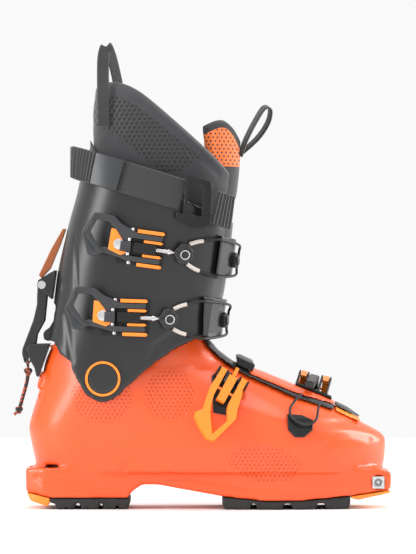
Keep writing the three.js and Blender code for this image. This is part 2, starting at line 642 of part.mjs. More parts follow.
function bailBar(frame, u0, u1) {
  return plate(frame, rect(u0, u1, -3.6, 3.6), 3.8, 9)
    .subtract(crossPin(frame, BAIL_U, HINGE_W, 1.6, -8, 8));
}

function cuffBuckle(name, anchor, tilt) {
  const angle = THREE.MathUtils.degToRad(tilt);
  const alongU = vec(Math.cos(angle), 0, -Math.sin(angle));
  const acrossV = vec(Math.sin(angle), 0, Math.cos(angle));
  const at = (u, v, above) => {
    const x = anchor.x + u * alongU.x + v * acrossV.x;
    const z = anchor.z + u * alongU.z + v * acrossV.z;
    return vec(x, cuffSide(x, z, above), z);
  };
  const out = at(1, 0, 0).sub(at(-1, 0, 0)).cross(at(0, 1, 0).sub(at(0, -1, 0)));
  const frame = frameAt(at(0, 0, 0), alongU, out);
  const flatOnCuff = (points) => points.map(([u, v]) => at(u, v, 0)).map((p) => [p.x, p.z]);
  const foot = cuffPatch(flatOnCuff(rect(-34, 6, -15, 15)), GAP, 2, -80, 0);
  add(`${name}_base`, buckleBase(frame, foot, 1.5).subtract(cuffSolid(GAP, 100, 296)), blackSteel);
  add(`${name}_lever`, buckleLever(frame, CUFF_LEVER, [CUFF_LEVER_WINDOW]), greyPlastic);
  const bar = bailBar(frame, BAIL_U - 5, 0.4).add(longPin(frame, 0, HINGE_W, 1.7, 0, 13));
  add(`${name}_bail`, bar, steel);
  const blockHole = longPin(frame, 0, HINGE_W, 2.1, 12, 13.4);
  const block = plate(frame, [[14, -1.5], [19, -8.5], [24, -8], [28.6, -3], [28.6, 3], [24, 8], [19, 8.5], [14, 1.5]],
    3.4, 8.4);
  add(`${name}_cable_block`, block.subtract(blockHole), blackPlastic);
  const run = [[27, 9.4, 4.6], [36, 12.4, 4.2], [46, 15, 6.4], [53, 15.4, 8]];
  const strand = run.map(([u, v, h]) => at(u, v, h));
  const back = run.map(([u, v, h]) => at(u, -v, h)).reverse();
  const noseZ = anchor.z - 60 * Math.sin(angle);
  const bend = [[-14, 12.6], [-5.5, 7], [-3, 0], [-5.5, -7], [-14, -12.6]];
  const end = bend.map(([y, v]) => cuffNose(y, noseZ + v, 7.6));
  add(`${name}_cable`, cableLoop([...strand, ...end, ...back], CABLE), blackSteel);
  const catchPlate = cuffPatch(flatOnCuff([[50, -13], [56, -15], [72, -12], [72, 17], [50, 19]]), GAP, 4.4, -60, 6);
  const knobSide = cuffNose(-16, noseZ).sub(cuffNose(-12, noseZ));
  const knobFrame = frameAt(cuffNose(-14, noseZ), knobSide.clone().negate(), knobSide.cross(vec(0, 0, -1)));
  const knob = plate(knobFrame, [[-4, -3], [-2, -5.5], [2, -5.5], [4, -3], [4, 3], [2, 5.5], [-2, 5.5], [-4, 3]], 2, 8.4);
  add(`${name}_catch`, catchPlate.add(knob), blackPlastic);
}

const INSTEP_LEVER = [
  [3, 12], [3, 7], [-22, 7], [-30, 5.4], [-37, 3], [-53, -7], [-36, -13], [-27, -8], [-22, -7], [3, -7],
  [3, -12], [-6, -12], [-12, -14], [-24, -16], [-31, -18.5], [-57, -11], [-58.5, -5], [-52.5, 5.2], [-46.5, 12.5],
  [-43, 13.6], [-37.6, 9.5], [-26.4, 11.5], [-16.9, 13], [-6, 12],
];

// A point on the outer side of the lower shell, with its height above the surface.
const onShell = (x, z, above = 0) => vec(x, shellSide(x, z, above), z);

function addInstepBuckle() {
  const low = onShell(91, 59);
  const high = onShell(120, 112);
  const along = high.clone().sub(low);
  const frame = frameAt(onShell(114, 107, 4.5), along, vec(0.2, -0.9, 0.3));
  const foot = shellPatch([[99, 80], [110, 78], [122, 99], [118, 110], [106, 117], [98, 110]], GAP, 2.4, -70, 0);
  const keepOff = shellSolid(-GAP, 40, SHELL_TOP);
  add('instep_buckle_base', buckleBase(frame, foot, 9).subtract(keepOff), blackSteel);
  add('instep_buckle_lever', buckleLever(frame, INSTEP_LEVER, []), brightOrange);
  const bail = bailBar(frame, -24, 0.4).add(longPin(frame, 0, HINGE_W, 1.6, 0, 9));
  add('instep_buckle_bail', bail, brightOrange);
  const rack = shellPatch([[118, 127], [119, 119], [125, 112], [131, 111], [134, 118], [129, 128]], 3.4, 8, -18, 10);
  add('instep_catch', rack.subtract(longPin(frame, 0, HINGE_W, 3, 0, 12)), blackSteel);
}

function addToeBuckle() {
  const frame = frameAt(vec(183, 14, 102.4), vec(0.05, -0.8, 0.59), vec(0.25, 0.58, 0.77));
  const foot = shellPatch([[168, 110], [168, 94], [172, 88], [194, 80], [198, 84], [198, 100]], 3.4, 5.2, -2, 34);
  add('toe_buckle_base', buckleBase(frame, foot, 9).subtract(shellSolid(-3.3, 40, SHELL_TOP)), blackSteel);
  add('toe_buckle_lever', buckleLever(frame, INSTEP_LEVER, []), brightOrange);
  const bailSide = [[-18, 3.8], [-18, 9], [-2, 9.6], [9, 3], [28, -17.5], [23.5, -22], [6, -3.5], [0, 3.8]];
  const bail = new THREE.ExtrudeGeometry(outline(bailSide), { depth: 7.2, bevelEnabled: false });
  bail.rotateX(Math.PI / 2).translate(0, 3.6, 0).applyMatrix4(frame);
  add('toe_buckle_bail', solid(bail).subtract(crossPin(frame, BAIL_U, HINGE_W, 1.6, -8, 8)), blackPlastic);
  const cable = [[172, 95], [166, 89], [162.4, 83], [163, 77.4], [169.6, 72.4], [178, 70.6], [183.6, 74],
    [185.6, 81], [186.4, 86.6]];
  add('toe_cable', cableLoop(cable.map(([x, z]) => onShell(x, z, 6)), CABLE), blackSteel);
  const rack = shellPatch([[160, 79], [160.5, 66], [166, 60], [174, 60], [181, 66], [181.5, 74], [172, 78]],
    GAP, 4.6, -70, 0);
  add('toe_rack', rack, blackSteel);
}

function addCuffBuckles() {
  cuffBuckle('upper_buckle', { x: 53.6, z: 213.9 }, 8);
  cuffBuckle('lower_buckle', { x: 41, z: 158 }, 2);
}

addSole();
addFittings();
addShell();
addCuff();
addPivots();
addLiner();
addPullLoops();
addStrap();
addWalkLock();
addPullCord();
addCuffBuckles();
addInstepBuckle();
addToeBuckle();

export default boot;
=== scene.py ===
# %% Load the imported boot
import json
import math
from functools import partial

import bpy
import numpy as np
from mathutils import Matrix, Vector


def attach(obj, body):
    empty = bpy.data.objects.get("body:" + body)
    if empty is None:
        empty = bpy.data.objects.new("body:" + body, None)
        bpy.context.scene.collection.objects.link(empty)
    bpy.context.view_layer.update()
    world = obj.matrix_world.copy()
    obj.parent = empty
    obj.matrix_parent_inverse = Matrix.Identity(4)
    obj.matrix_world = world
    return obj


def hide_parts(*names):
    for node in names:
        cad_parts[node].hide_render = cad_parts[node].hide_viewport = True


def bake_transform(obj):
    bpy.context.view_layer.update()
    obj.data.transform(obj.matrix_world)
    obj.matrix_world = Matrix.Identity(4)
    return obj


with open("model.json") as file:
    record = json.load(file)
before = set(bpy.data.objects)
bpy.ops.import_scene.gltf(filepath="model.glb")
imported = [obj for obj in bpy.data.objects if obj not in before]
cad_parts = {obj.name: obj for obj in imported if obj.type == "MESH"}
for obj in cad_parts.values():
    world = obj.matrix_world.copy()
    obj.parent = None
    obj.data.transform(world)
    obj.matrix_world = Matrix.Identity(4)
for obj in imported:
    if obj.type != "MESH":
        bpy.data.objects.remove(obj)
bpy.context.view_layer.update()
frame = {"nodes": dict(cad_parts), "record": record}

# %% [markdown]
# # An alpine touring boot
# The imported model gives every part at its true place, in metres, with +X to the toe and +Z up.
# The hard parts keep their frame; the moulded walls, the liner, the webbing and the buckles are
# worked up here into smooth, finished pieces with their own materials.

MM = 0.001
scene = bpy.context.scene
scene.view_settings.view_transform = "Standard"  # keeps the orange clean and the floor white


def only(obj):
    """Deselects everything, then selects this one object."""
    bpy.ops.object.select_all(action="DESELECT")
    obj.select_set(True)
    bpy.context.view_layer.objects.active = obj


def apply_all(obj):
    only(obj)
    for modifier in list(obj.modifiers):
        bpy.ops.object.modifier_apply(modifier=modifier.name)


def faces_out(obj):
    """Merges doubles and turns every face outwards."""
    only(obj)
    bpy.ops.object.mode_set(mode="EDIT")
    bpy.ops.mesh.select_all(action="SELECT")
    bpy.ops.mesh.remove_doubles(threshold=0.01 * MM)
    bpy.ops.mesh.normals_make_consistent(inside=False)
    bpy.ops.object.mode_set(mode="OBJECT")


def soften(obj, degrees=35):
    only(obj)
    bpy.ops.object.shade_smooth_by_angle(angle=math.radians(degrees))


def place(obj):
    """Leaves a finished piece at the origin, unturned and unscaled."""
    only(obj)
    bpy.ops.object.transform_apply(location=True, rotation=True, scale=True)


def finish(obj, material, body, slot, *nodes):
    """Gives a piece its finish, its body and the solids that it stands for."""
    obj.data.materials.clear()
    obj.data.materials.append(material)
    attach(obj, body)
    if nodes:
        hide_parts(*nodes)
    print(obj.name, len(obj.data.polygons) if obj.type == "MESH" else "curve", "on", body)
    return obj


# %% [markdown]
# ## Camera, floor and light
# The boot is seen straight from its outer side, from far off with a long lens, so its lines stay
# parallel. A long lens is a small field of view at a large distance. The floor is one pale sheet,
# and large soft lamps stand where a studio has its softboxes: left, right and above.

# %% The camera
VIEW_HEIGHT = 0.4593  # what the picture spans from top to bottom, at the boot
DISTANCE = 3.4
camera = bpy.data.cameras.new("camera")
camera.sensor_width = 36
camera.lens = camera.sensor_width * DISTANCE / VIEW_HEIGHT
eye = bpy.data.objects.new("camera", camera)
eye.location = (0.0949, -DISTANCE - 0.02, 0.1916)
eye.rotation_euler = (math.radians(90), 0, 0)
scene.collection.objects.link(eye)
scene.camera = eye
print("lens", round(camera.lens), "mm")

# %% The floor and the lamps
FLOOR_DROP = -0.0004  # keeps the floor's face clear of the soles' own
bpy.ops.object.select_all(action="DESELECT")
bpy.ops.mesh.primitive_circle_add(vertices=96, radius=1.5, fill_type="NGON", location=(0, 0, FLOOR_DROP))
floor = bpy.context.object
floor.name = "floor"
place(floor)
floor_paint = bpy.data.materials.new("floor_paint")
floor_paint.use_nodes = True
floor_paint.node_tree.nodes["Principled BSDF"].inputs["Base Color"].default_value = (0.93, 0.93, 0.93, 1)
floor_paint.node_tree.nodes["Principled BSDF"].inputs["Roughness"].default_value = 0.7
floor.data.materials.append(floor_paint)

world = bpy.data.worlds.new("studio")
scene.world = world
world.use_nodes = True
world.node_tree.nodes["Background"].inputs["Color"].default_value = (1, 1, 1, 1)
world.node_tree.nodes["Background"].inputs["Strength"].default_value = 0.95


def lamp(name, at, aim, width, height, power):
    light = bpy.data.lights.new(name, "AREA")
    light.shape = "RECTANGLE"
    light.size = width
    light.size_y = height
    light.energy = power
    stand = bpy.data.objects.new(name, light)
    stand.location = at
    stand.rotation_euler = (Vector(aim) - Vector(at)).to_track_quat("-Z", "Y").to_euler()
    scene.collection.objects.link(stand)
    return stand


lamp("left_softbox", (-1.5, -0.75, 0.75), (0.05, 0, 0.2), 0.7, 1.3, 22)
lamp("right_softbox", (1.5, 0.35, 0.75), (0.08, 0, 0.2), 0.5, 1.3, 22)
lamp("top_softbox", (0.1, -0.5, 1.7), (0.09, 0, 0.15), 1.4, 0.9, 12)
lamp("front_fill", (0.5, -2.4, 0.9), (0.09, 0, 0.15), 1.6, 1.2, 3)
print("floor and four lamps")

# %% [markdown]
# ## The pull cord
# A short braided cord hangs from the eye of the lock lever: a loop, a knot, a run and a
# second knot with a tail. Each is a curve of one spline with a round section, on the route that
# the frame's solids have.

# %% The pull cord's route
CORD_Y = -9.4


def smooth_route(guide, steps):
    """Even steps along a smooth curve through the guide, each with the span it lies in."""
    last = len(guide) - 1
    route = []
    for i in range(steps + 1):
        t = i / steps * last
        k = min(int(t), last - 1)
        f = t - k
        a, b, c, d = (guide[max(k - 1, 0)], guide[k], guide[k + 1], guide[min(k + 2, last)])
        at = 0.5 * (2 * b + (c - a) * f + (2 * a - 5 * b + 4 * c - d) * f * f
                    + (3 * b - a - 3 * c + d) * f * f * f)
        route.append((at, k, f))
    return route


def add_line(curve, points, closed):
    line = curve.splines.new("POLY")
    line.points.add(len(points) - 1)
    line.use_cyclic_u = closed
    for point, at in zip(line.points, points):
        point.co = (at[0], at[1], at[2] if len(at) > 2 else 0, 1)


def linked(name, data):
    obj = bpy.data.objects.new(name, data)
    scene.collection.objects.link(obj)
    return obj


def to_mesh(obj):
    only(obj)
    bpy.ops.object.convert(target="MESH")
    return bpy.context.object


def round_curve(name, points, diameter, rings, closed=False):
    curve = bpy.data.curves.new(name, "CURVE")
    curve.dimensions = "3D"
    curve.bevel_depth = diameter / 2
    curve.bevel_resolution = rings
    curve.use_fill_caps = not closed
    add_line(curve, points, closed)
    return linked(name, curve)


def thread(name, points, diameter, steps):
    """A round cord through these points, as one smooth open spline."""
    route = [at for at, _, _ in smooth_route([Vector(p) * MM for p in points], steps)]
    obj = round_curve(name, route, diameter, 4)
    length = sum((b - a).length for a, b in zip(route, route[1:]))
    print(name, "is", round(length / MM, 1), "mm long")
    return obj, length


cord_run, run_length = thread("pull_cord_run", [
    (-54.7, CORD_Y, 114.6), (-55, CORD_Y, 108.8), (-56.6, CORD_Y, 101), (-59, CORD_Y, 92.5),
    (-61, CORD_Y, 85.1), (-62.2, CORD_Y, 81.4)], 3.2 * MM, 18)
cord_eye, _ = thread("pull_cord_eye", [
    (-54.8, CORD_Y - 1.6, 116.3), (-55, CORD_Y - 3.4, 119.8), (-55.2, CORD_Y - 2.6, 122.9),
    (-55.2, CORD_Y, 123.6), (-55.2, CORD_Y + 2.6, 122.9), (-55, CORD_Y + 3.4, 119.8),
    (-54.8, CORD_Y + 1.6, 116.3)], 2.2 * MM, 24)
cord_tail, _ = thread("pull_cord_tail", [
    (-62.4, CORD_Y, 80.8), (-64.6, CORD_Y, 78.8), (-66.2, CORD_Y, 77)], 2.4 * MM, 6)


# %% [markdown]
# A tied knot is the cord wound round itself. A trefoil line with the cord's thickness, squeezed
# into the space of the knot, gives the crossing strands that a plain ball would not have.

# %% The two knots
def tied(name, centre, radius, strand):
    turns = 72
    points = []
    for i in range(turns):
        t = 2 * math.pi * i / turns
        x = math.sin(t) + 2 * math.sin(2 * t)
        z = math.cos(t) - 2 * math.cos(2 * t)
        y = -math.sin(3 * t)
        points.append(Vector(centre) * MM + Vector((x, y * 1.15, z)) / 3 * (radius - strand / 2) * MM)
    obj = to_mesh(round_curve(name, points, strand * MM, 3, closed=True))
    soften(obj, 60)
    return obj


knot_upper = tied("pull_cord_knot_upper", (-54.7, CORD_Y, 112.9), 3.9, 2.6)
knot_lower = tied("pull_cord_knot_lower", (-62.2, CORD_Y, 81.2), 3.5, 2.4)

# %% [markdown]
# ## Effects shared by the finishes
# Moulded plastic, rubber and cloth share a few effects: a fine grain, scuffs, a weave, a field of
# small dots. Each is a node group with named inputs and outputs, built once and placed in every
# material with its own values. A group gives only colours, masks and heights; the shader itself
# stays in the material.

# %% Making a node group
def new_group(name, inputs, outputs):
    group = bpy.data.node_groups.new(name, "ShaderNodeTree")
    for label, kind, value in inputs:
        socket = group.interface.new_socket(name=label, in_out="INPUT", socket_type=kind)
        if value is not None:
            socket.default_value = value
    for label, kind in outputs:
        group.interface.new_socket(name=label, in_out="OUTPUT", socket_type=kind)
    return group, group.nodes.new("NodeGroupInput"), group.nodes.new("NodeGroupOutput")


def math_node(tree, operation, a, b=None, clamp=False):
    node = tree.nodes.new("ShaderNodeMath")
    node.operation = operation
    node.use_clamp = clamp
    for socket, value in zip(node.inputs, (a, b)):
        if isinstance(value, (int, float)):
            socket.default_value = value
        elif value is not None:
            tree.links.new(value, socket)
    return node.outputs[0]


def mixed(tree, factor, a, b):
    """One colour laid over another where the factor is 1."""
    node = tree.nodes.new("ShaderNodeMix")
    node.data_type = "RGBA"
    for socket, value in ((node.inputs["Factor"], factor), (node.inputs[6], a), (node.inputs[7], b)):
        if isinstance(value, (tuple, int, float)):
            socket.default_value = value
        else:
            tree.links.new(value, socket)
    return node.outputs[2]


def noise(tree, vector, scale, detail=2, distortion=0):
    node = tree.nodes.new("ShaderNodeTexNoise")
    node.inputs["Scale"].default_value = scale
    node.inputs["Detail"].default_value = detail
    node.inputs["Distortion"].default_value = distortion
    tree.links.new(vector, node.inputs["Vector"])
    return node.outputs["Fac"]


def coordinates(tree, vector):
    parts = tree.nodes.new("ShaderNodeSeparateXYZ")
    tree.links.new(vector, parts.inputs[0])
    return parts


FLOAT, COLOR, VECTOR = "NodeSocketFloat", "NodeSocketColor", "NodeSocketVector"


# %% Moulded grain: a fine orange-peel height, broad colour drift and small scuffs
def build_moulded_grain():
    group, given, out = new_group("moulded_grain", [
        ("Vector", VECTOR, None), ("Color", COLOR, (0.5, 0.5, 0.5, 1)), ("Drift", FLOAT, 0.06),
        ("Roughness", FLOAT, 0.35), ("Scuffs", FLOAT, 0.15),
    ], [("Color", COLOR), ("Roughness", FLOAT), ("Height", FLOAT)])
    calc = partial(math_node, group)
    vector = given.outputs["Vector"]
    broad = noise(group, vector, 22)
    scuff = noise(group, vector, 90, 6, 1.5)
    swing = calc("SUBTRACT", broad, 0.5)
    lift = calc("MULTIPLY", swing, given.outputs["Drift"])
    tone = group.nodes.new("ShaderNodeHueSaturation")
    group.links.new(given.outputs["Color"], tone.inputs["Color"])
    group.links.new(calc("ADD", lift, 1.0), tone.inputs["Value"])
    group.links.new(tone.outputs["Color"], out.inputs["Color"])
    mask = calc("MULTIPLY", calc("SUBTRACT", scuff, 0.56, True), 6, True)
    rough = calc("MULTIPLY", mask, given.outputs["Scuffs"])
    group.links.new(calc("ADD", rough, given.outputs["Roughness"]), out.inputs["Roughness"])
    group.links.new(noise(group, vector, 1400), out.inputs["Height"])
    return group


moulded_grain = build_moulded_grain()
print("group", moulded_grain.name)


# %% A field of round dots on the two axes of a pattern, in staggered rows
def build_dot_field():
    group, given, out = new_group("dot_field", [
        ("Vector", VECTOR, None), ("Pitch", FLOAT, 0.004), ("Radius", FLOAT, 0.0012),
        ("Softness", FLOAT, 0.0004),
    ], [("Mask", FLOAT)])
    calc = partial(math_node, group)
    parts = coordinates(group, given.outputs["Vector"])
    pitch = given.outputs["Pitch"]
    row_height = calc("MULTIPLY", pitch, 0.866)
    row = calc("DIVIDE", parts.outputs["Z"], row_height)
    row_index = calc("FLOOR", row)
    shift = calc("MULTIPLY", calc("MODULO", calc("ABSOLUTE", row_index), 2), 0.5)
    column = calc("ADD", calc("DIVIDE", parts.outputs["X"], pitch), shift)
    across = calc("MULTIPLY",
                       calc("SUBTRACT", calc("FRACT", column), 0.5), pitch)
    upward = calc("MULTIPLY",
                       calc("SUBTRACT", calc("FRACT", row), 0.5), row_height)
    reach = calc("SQRT", calc("ADD", calc("MULTIPLY", across, across),
                                               calc("MULTIPLY", upward, upward)))
    inside = calc("SUBTRACT", given.outputs["Radius"], reach)
    group.links.new(calc("DIVIDE", inside, given.outputs["Softness"], True), out.inputs["Mask"])
    return group


dot_field = build_dot_field()
print("group", dot_field.name)


# %% Woven webbing on a U and V in metres: ribs across, fine yarns along
def build_webbing_weave():
    group, given, out = new_group("webbing_weave", [
        ("Vector", VECTOR, None), ("Color", COLOR, (0.02, 0.02, 0.02, 1)),
        ("Light", COLOR, (0.06, 0.06, 0.06, 1)),
        ("Rib", FLOAT, 0.0013), ("Yarn", FLOAT, 0.0009),
    ], [("Color", COLOR), ("Height", FLOAT)])
    calc = partial(math_node, group)
    parts = coordinates(group, given.outputs["Vector"])

    def ripple(value, pitch):
        turns = calc("MULTIPLY", calc("DIVIDE", value, pitch), 2 * math.pi)
        return calc("ADD", calc("MULTIPLY", calc("SINE", turns), 0.5), 0.5)

    rib = ripple(parts.outputs["X"], given.outputs["Rib"])
    yarn = ripple(parts.outputs["Y"], given.outputs["Yarn"])
    height = calc("ADD", calc("MULTIPLY", rib, 0.7), calc("MULTIPLY", yarn, 0.3))
    # The tone follows the height: the raised ribs and yarns take the lighter colour, a painted highlight on
    # the weave.
    tone = mixed(group, height, given.outputs["Color"], given.outputs["Light"])
    group.links.new(tone, out.inputs["Color"])
    group.links.new(height, out.inputs["Height"])
    return group


webbing_weave = build_webbing_weave()
print("group", webbing_weave.name)


# %% [markdown]
# ## The finishes
# One small maker gives each material a Principled shader with Object coordinates and a bump, and
# the materials then add what is their own.

# %% The start of every finish
def new_finish(name, roughness=0.4, metallic=0.0, coat=0.0, sheen=0.0):
    material = bpy.data.materials.new(name)
    material.use_nodes = True
    tree = material.node_tree
    shader = tree.nodes["Principled BSDF"]
    shader.inputs["Roughness"].default_value = roughness
    shader.inputs["Metallic"].default_value = metallic
    shader.inputs["Coat Weight"].default_value = coat
    shader.inputs["Sheen Weight"].default_value = sheen
    place_node = tree.nodes.new("ShaderNodeTexCoord")
    return material, tree, shader, place_node


def bump(tree, shader, height, distance, strength=1.0):
    node = tree.nodes.new("ShaderNodeBump")
    node.inputs["Distance"].default_value = distance
    node.inputs["Strength"].default_value = strength
    tree.links.new(height, node.inputs["Height"])
    tree.links.new(node.outputs["Normal"], shader.inputs["Normal"])
    return node


def use(tree, group, **values):
    node = tree.nodes.new("ShaderNodeGroup")
    node.node_tree = group
    for label, value in values.items():
        socket = node.inputs[label.replace("_", " ")]
        if isinstance(value, (int, float, tuple)):
            socket.default_value = value
        else:
            tree.links.new(value, socket)
    return node


def moulded(name, color, roughness=0.35, drift=0.08, scuffs=0.12, coat=0.0, grain=0.05, metallic=0.0):
    material, tree, shader, where = new_finish(name, roughness, metallic, coat)
    grain_node = use(tree, moulded_grain, Vector=where.outputs["Object"], Color=(*color, 1), Drift=drift,
                     Roughness=roughness, Scuffs=scuffs)
    tree.links.new(grain_node.outputs["Color"], shader.inputs["Base Color"])
    tree.links.new(grain_node.outputs["Roughness"], shader.inputs["Roughness"])
    bump(tree, shader, grain_node.outputs["Height"], grain * MM)
    return material


black_plastic = moulded("black_plastic", (0.011, 0.011, 0.012), 0.32, scuffs=0.2)
grey_plastic = moulded("grey_plastic", (0.026, 0.028, 0.031), 0.3, scuffs=0.2)
bright_orange = moulded("bright_orange", (0.88, 0.235, 0.012), 0.3, coat=0.2)
burnt_orange = moulded("burnt_orange", (0.33, 0.085, 0.018), 0.4)
black_metal = moulded("black_metal", (0.018, 0.018, 0.019), 0.28, scuffs=0.25, metallic=0.6)
sole_rubber = moulded("sole_rubber", (0.010, 0.010, 0.0105), 0.55, scuffs=0.3, grain=0.16)
board_plastic = moulded("board_plastic", (0.03, 0.03, 0.032), 0.5)
print("plain finishes ready")

# %% [markdown]
# The lower shell is orange polyamide with a satin skin. Patches of it are dimpled in staggered
# rows: a round field on the ankle, one below the pivot and a long oval over the forefoot. Each
# field is a soft oval mask times the dot field, so the dots fade out at its rim. The dimples are
# pressed in by a bump and also painted a darker orange inside, as painted shade.

# %% The dimpled orange shell
def oval_mask(tree, where, centre, half, turn=0.0):
    """1 inside an oval seen from the side, falling to 0 at its rim."""
    node = tree.nodes.new("ShaderNodeMapping")
    node.vector_type = "TEXTURE"
    node.inputs["Location"].default_value = (centre[0] * MM, 0, centre[1] * MM)
    node.inputs["Rotation"].default_value = (0, math.radians(turn), 0)
    node.inputs["Scale"].default_value = (half[0] * MM, 1000, half[1] * MM)
    tree.links.new(where, node.inputs["Vector"])
    length = tree.nodes.new("ShaderNodeVectorMath")
    length.operation = "LENGTH"
    tree.links.new(node.outputs["Vector"], length.inputs[0])
    inside = math_node(tree, "SUBTRACT", 1.0, length.outputs["Value"])
    return math_node(tree, "MULTIPLY", inside, 6, True)


def dimpled_shell():
    material = moulded("shell_orange", (0.80, 0.088, 0.012), 0.3, drift=0.05, scuffs=0.08, coat=0.12)
    tree = material.node_tree
    shader = tree.nodes["Principled BSDF"]
    where = next(n for n in tree.nodes if n.type == "TEX_COORD").outputs["Object"]
    fields = oval_mask(tree, where, (63.9, 94.5), (23, 23))
    for oval in (((8, 92), (27, 22)), ((141.4, 38.1), (33, 16.6), 8)):
        fields = math_node(tree, "MAXIMUM", fields, oval_mask(tree, where, *oval))
    dots = use(tree, dot_field, Vector=where, Pitch=3.7 * MM, Radius=1.25 * MM, Softness=0.7 * MM)
    dimples = math_node(tree, "MULTIPLY", dots.outputs["Mask"], fields)
    base = shader.inputs["Base Color"]
    skin = next(link.from_socket for link in tree.links if link.to_socket == base)
    # The dimples are painted a darker orange: painted shade in the hollows, over the bump that presses them
    # in.
    painted_dimple_shade = math_node(tree, "MULTIPLY", dimples, 0.6)
    tree.links.new(mixed(tree, painted_dimple_shade, skin, (0.42, 0.032, 0.006, 1)), base)
    grain_bump = next(n for n in tree.nodes if n.type == "BUMP")
    dimple_bump = bump(tree, shader, dimples, 0.5 * MM)
    dimple_bump.invert = True
    tree.links.new(grain_bump.outputs["Normal"], dimple_bump.inputs["Normal"])
    return material


shell_orange = dimpled_shell()
print("orange shell with three dimpled fields")

# %% The black cuff, a satin fibre-filled wall
cuff_black = moulded("cuff_black", (0.0115, 0.0115, 0.0125), 0.3, drift=0.06, scuffs=0.05)

# %% [markdown]
# Steel pins and plates carry fine turned or brushed lines. A noise stretched along one axis gives
# the lines in both roughness and height.

# %% Brushed steel and black wire rope
def brushed(name, color, roughness, stretch):
    material, tree, shader, where = new_finish(name, roughness, 1.0)
    shader.inputs["Base Color"].default_value = (*color, 1)
    lay = tree.nodes.new("ShaderNodeMapping")
    lay.inputs["Scale"].default_value = stretch
    tree.links.new(where.outputs["Object"], lay.inputs["Vector"])
    lines = noise(tree, lay.outputs["Vector"], 1, 3)
    spread = math_node(tree, "MULTIPLY", lines, 0.25)
    tree.links.new(math_node(tree, "ADD", spread, roughness - 0.1), shader.inputs["Roughness"])
    tone = mixed(tree, lines, (*[c * 0.8 for c in color], 1), (*color, 1))
    tree.links.new(tone, shader.inputs["Base Color"])
    bump(tree, shader, lines, 0.03 * MM)
    return material


steel = brushed("steel", (0.62, 0.62, 0.63), 0.24, (2600, 2600, 160))
wire_rope = brushed("wire_rope", (0.05, 0.05, 0.052), 0.4, (900, 2200, 900))
print("metals ready")


# %% [markdown]
# Cloth comes in three kinds here: the woven webbing of the strap and loops, the braid of the pull
# cord, and the smooth padded cloth of the liner's foot.

# %% Webbing on the strap's own U and V, in metres
def webbing_finish(name, dark, light, rib=1.35, yarn=1.0, depth=0.25):
    material, tree, shader, where = new_finish(name, 0.7, sheen=0.25)
    along = tree.nodes.new("ShaderNodeUVMap")
    along.uv_map = "UVMap"
    weave = use(tree, webbing_weave, Vector=along.outputs["UV"], Color=(*dark, 1), Light=(*light, 1),
                Rib=rib * MM, Yarn=yarn * MM)
    tree.links.new(weave.outputs["Color"], shader.inputs["Base Color"])
    bump(tree, shader, weave.outputs["Height"], depth * MM)
    return material


# The second colour is the painted highlight on the raised ribs of the weave.
webbing = webbing_finish("webbing", (0.006, 0.006, 0.007), (0.03, 0.031, 0.033))


# %% Braided cord with orange flecks
def braid_finish():
    material, tree, shader, where = new_finish("cord_braid", 0.75, sheen=0.3)
    flecks = tree.nodes.new("ShaderNodeTexVoronoi")
    flecks.inputs["Scale"].default_value = 620
    tree.links.new(where.outputs["Object"], flecks.inputs["Vector"])
    parts = tree.nodes.new("ShaderNodeSeparateColor")
    tree.links.new(flecks.outputs["Color"], parts.inputs["Color"])
    orange = math_node(tree, "GREATER_THAN", parts.outputs["Red"], 0.72)
    tone = mixed(tree, orange, (0.012, 0.010, 0.010, 1), (0.42, 0.07, 0.015, 1))
    tree.links.new(tone, shader.inputs["Base Color"])
    bump(tree, shader, flecks.outputs["Distance"], 0.3 * MM).invert = True
    return material


cord_braid = braid_finish()


# %% Smooth liner cloth with fine pores
def cloth_finish(name, thread_color, hole_color, pitch, hole, sheen, depth):
    material, tree, shader, where = new_finish(name, 0.75, sheen=sheen)
    calc = partial(math_node, tree)
    vector = where.outputs["Object"]
    holes = use(tree, dot_field, Vector=vector, Pitch=pitch * MM, Radius=hole * MM, Softness=0.45 * MM)
    fuzz = noise(tree, vector, 1800)
    yarn = mixed(tree, fuzz, (*[c * 0.6 for c in thread_color], 1), (*thread_color, 1))
    tree.links.new(mixed(tree, holes.outputs["Mask"], yarn, (*hole_color, 1)), shader.inputs["Base Color"])
    down = calc("SUBTRACT", 1.0, holes.outputs["Mask"])
    height = calc("ADD", down, calc("MULTIPLY", fuzz, 0.25))
    bump(tree, shader, height, depth * MM)
    return material


liner_cloth = cloth_finish("liner_cloth", (0.020, 0.020, 0.023), (0.014, 0.014, 0.016),
                           pitch=1.1, hole=0.3, sheen=0.2, depth=0.12)
print("cloths ready")

# %% Finishes on the solids that keep their shape
KEPT = {
    shell_orange: ["instep_flap"],
    bright_orange: ["toe_trim", "heel_bumper", "toe_bumper", "pivot_ring_lateral", "pivot_ring_medial",
                    "instep_buckle_lever", "instep_buckle_bail", "toe_buckle_lever"],
    burnt_orange: ["leaf_strip"],
    black_plastic: ["instep_gasket", "toe_gasket", "rear_bracket", "spine_arm", "pivot_pin_lateral",
                    "pivot_pin_medial", "spoiler", "lever_bracket", "upper_buckle_catch",
                    "lower_buckle_catch", "lock_lever", "upper_buckle_cable_block",
                    "lower_buckle_cable_block", "toe_buckle_bail"],
    grey_plastic: ["strap_pad", "upper_buckle_lever", "lower_buckle_lever"],
    black_metal: ["instep_buckle_base", "instep_catch", "toe_buckle_base", "toe_rack", "strap_buckle",
                  "upper_buckle_base", "lower_buckle_base"],
    steel: ["toe_fitting", "heel_fitting", "lever_bolt", "lock_pin", "upper_buckle_bail",
            "lower_buckle_bail"],
    sole_rubber: ["heel_sole", "forefoot_sole"],
    board_plastic: ["boot_board"],
    cuff_black: ["cuff"],
    webbing: ["power_strap", "strap_tail", "rear_pull_loop", "front_pull_loop"],
    wire_rope: ["upper_buckle_cable", "lower_buckle_cable", "toe_cable"],
    liner_cloth: ["liner_cuff", "liner_foot", "tongue"],
    cord_braid: ["cord_eye", "cord_knot_upper", "pull_cord", "cord_knot_lower"],
}
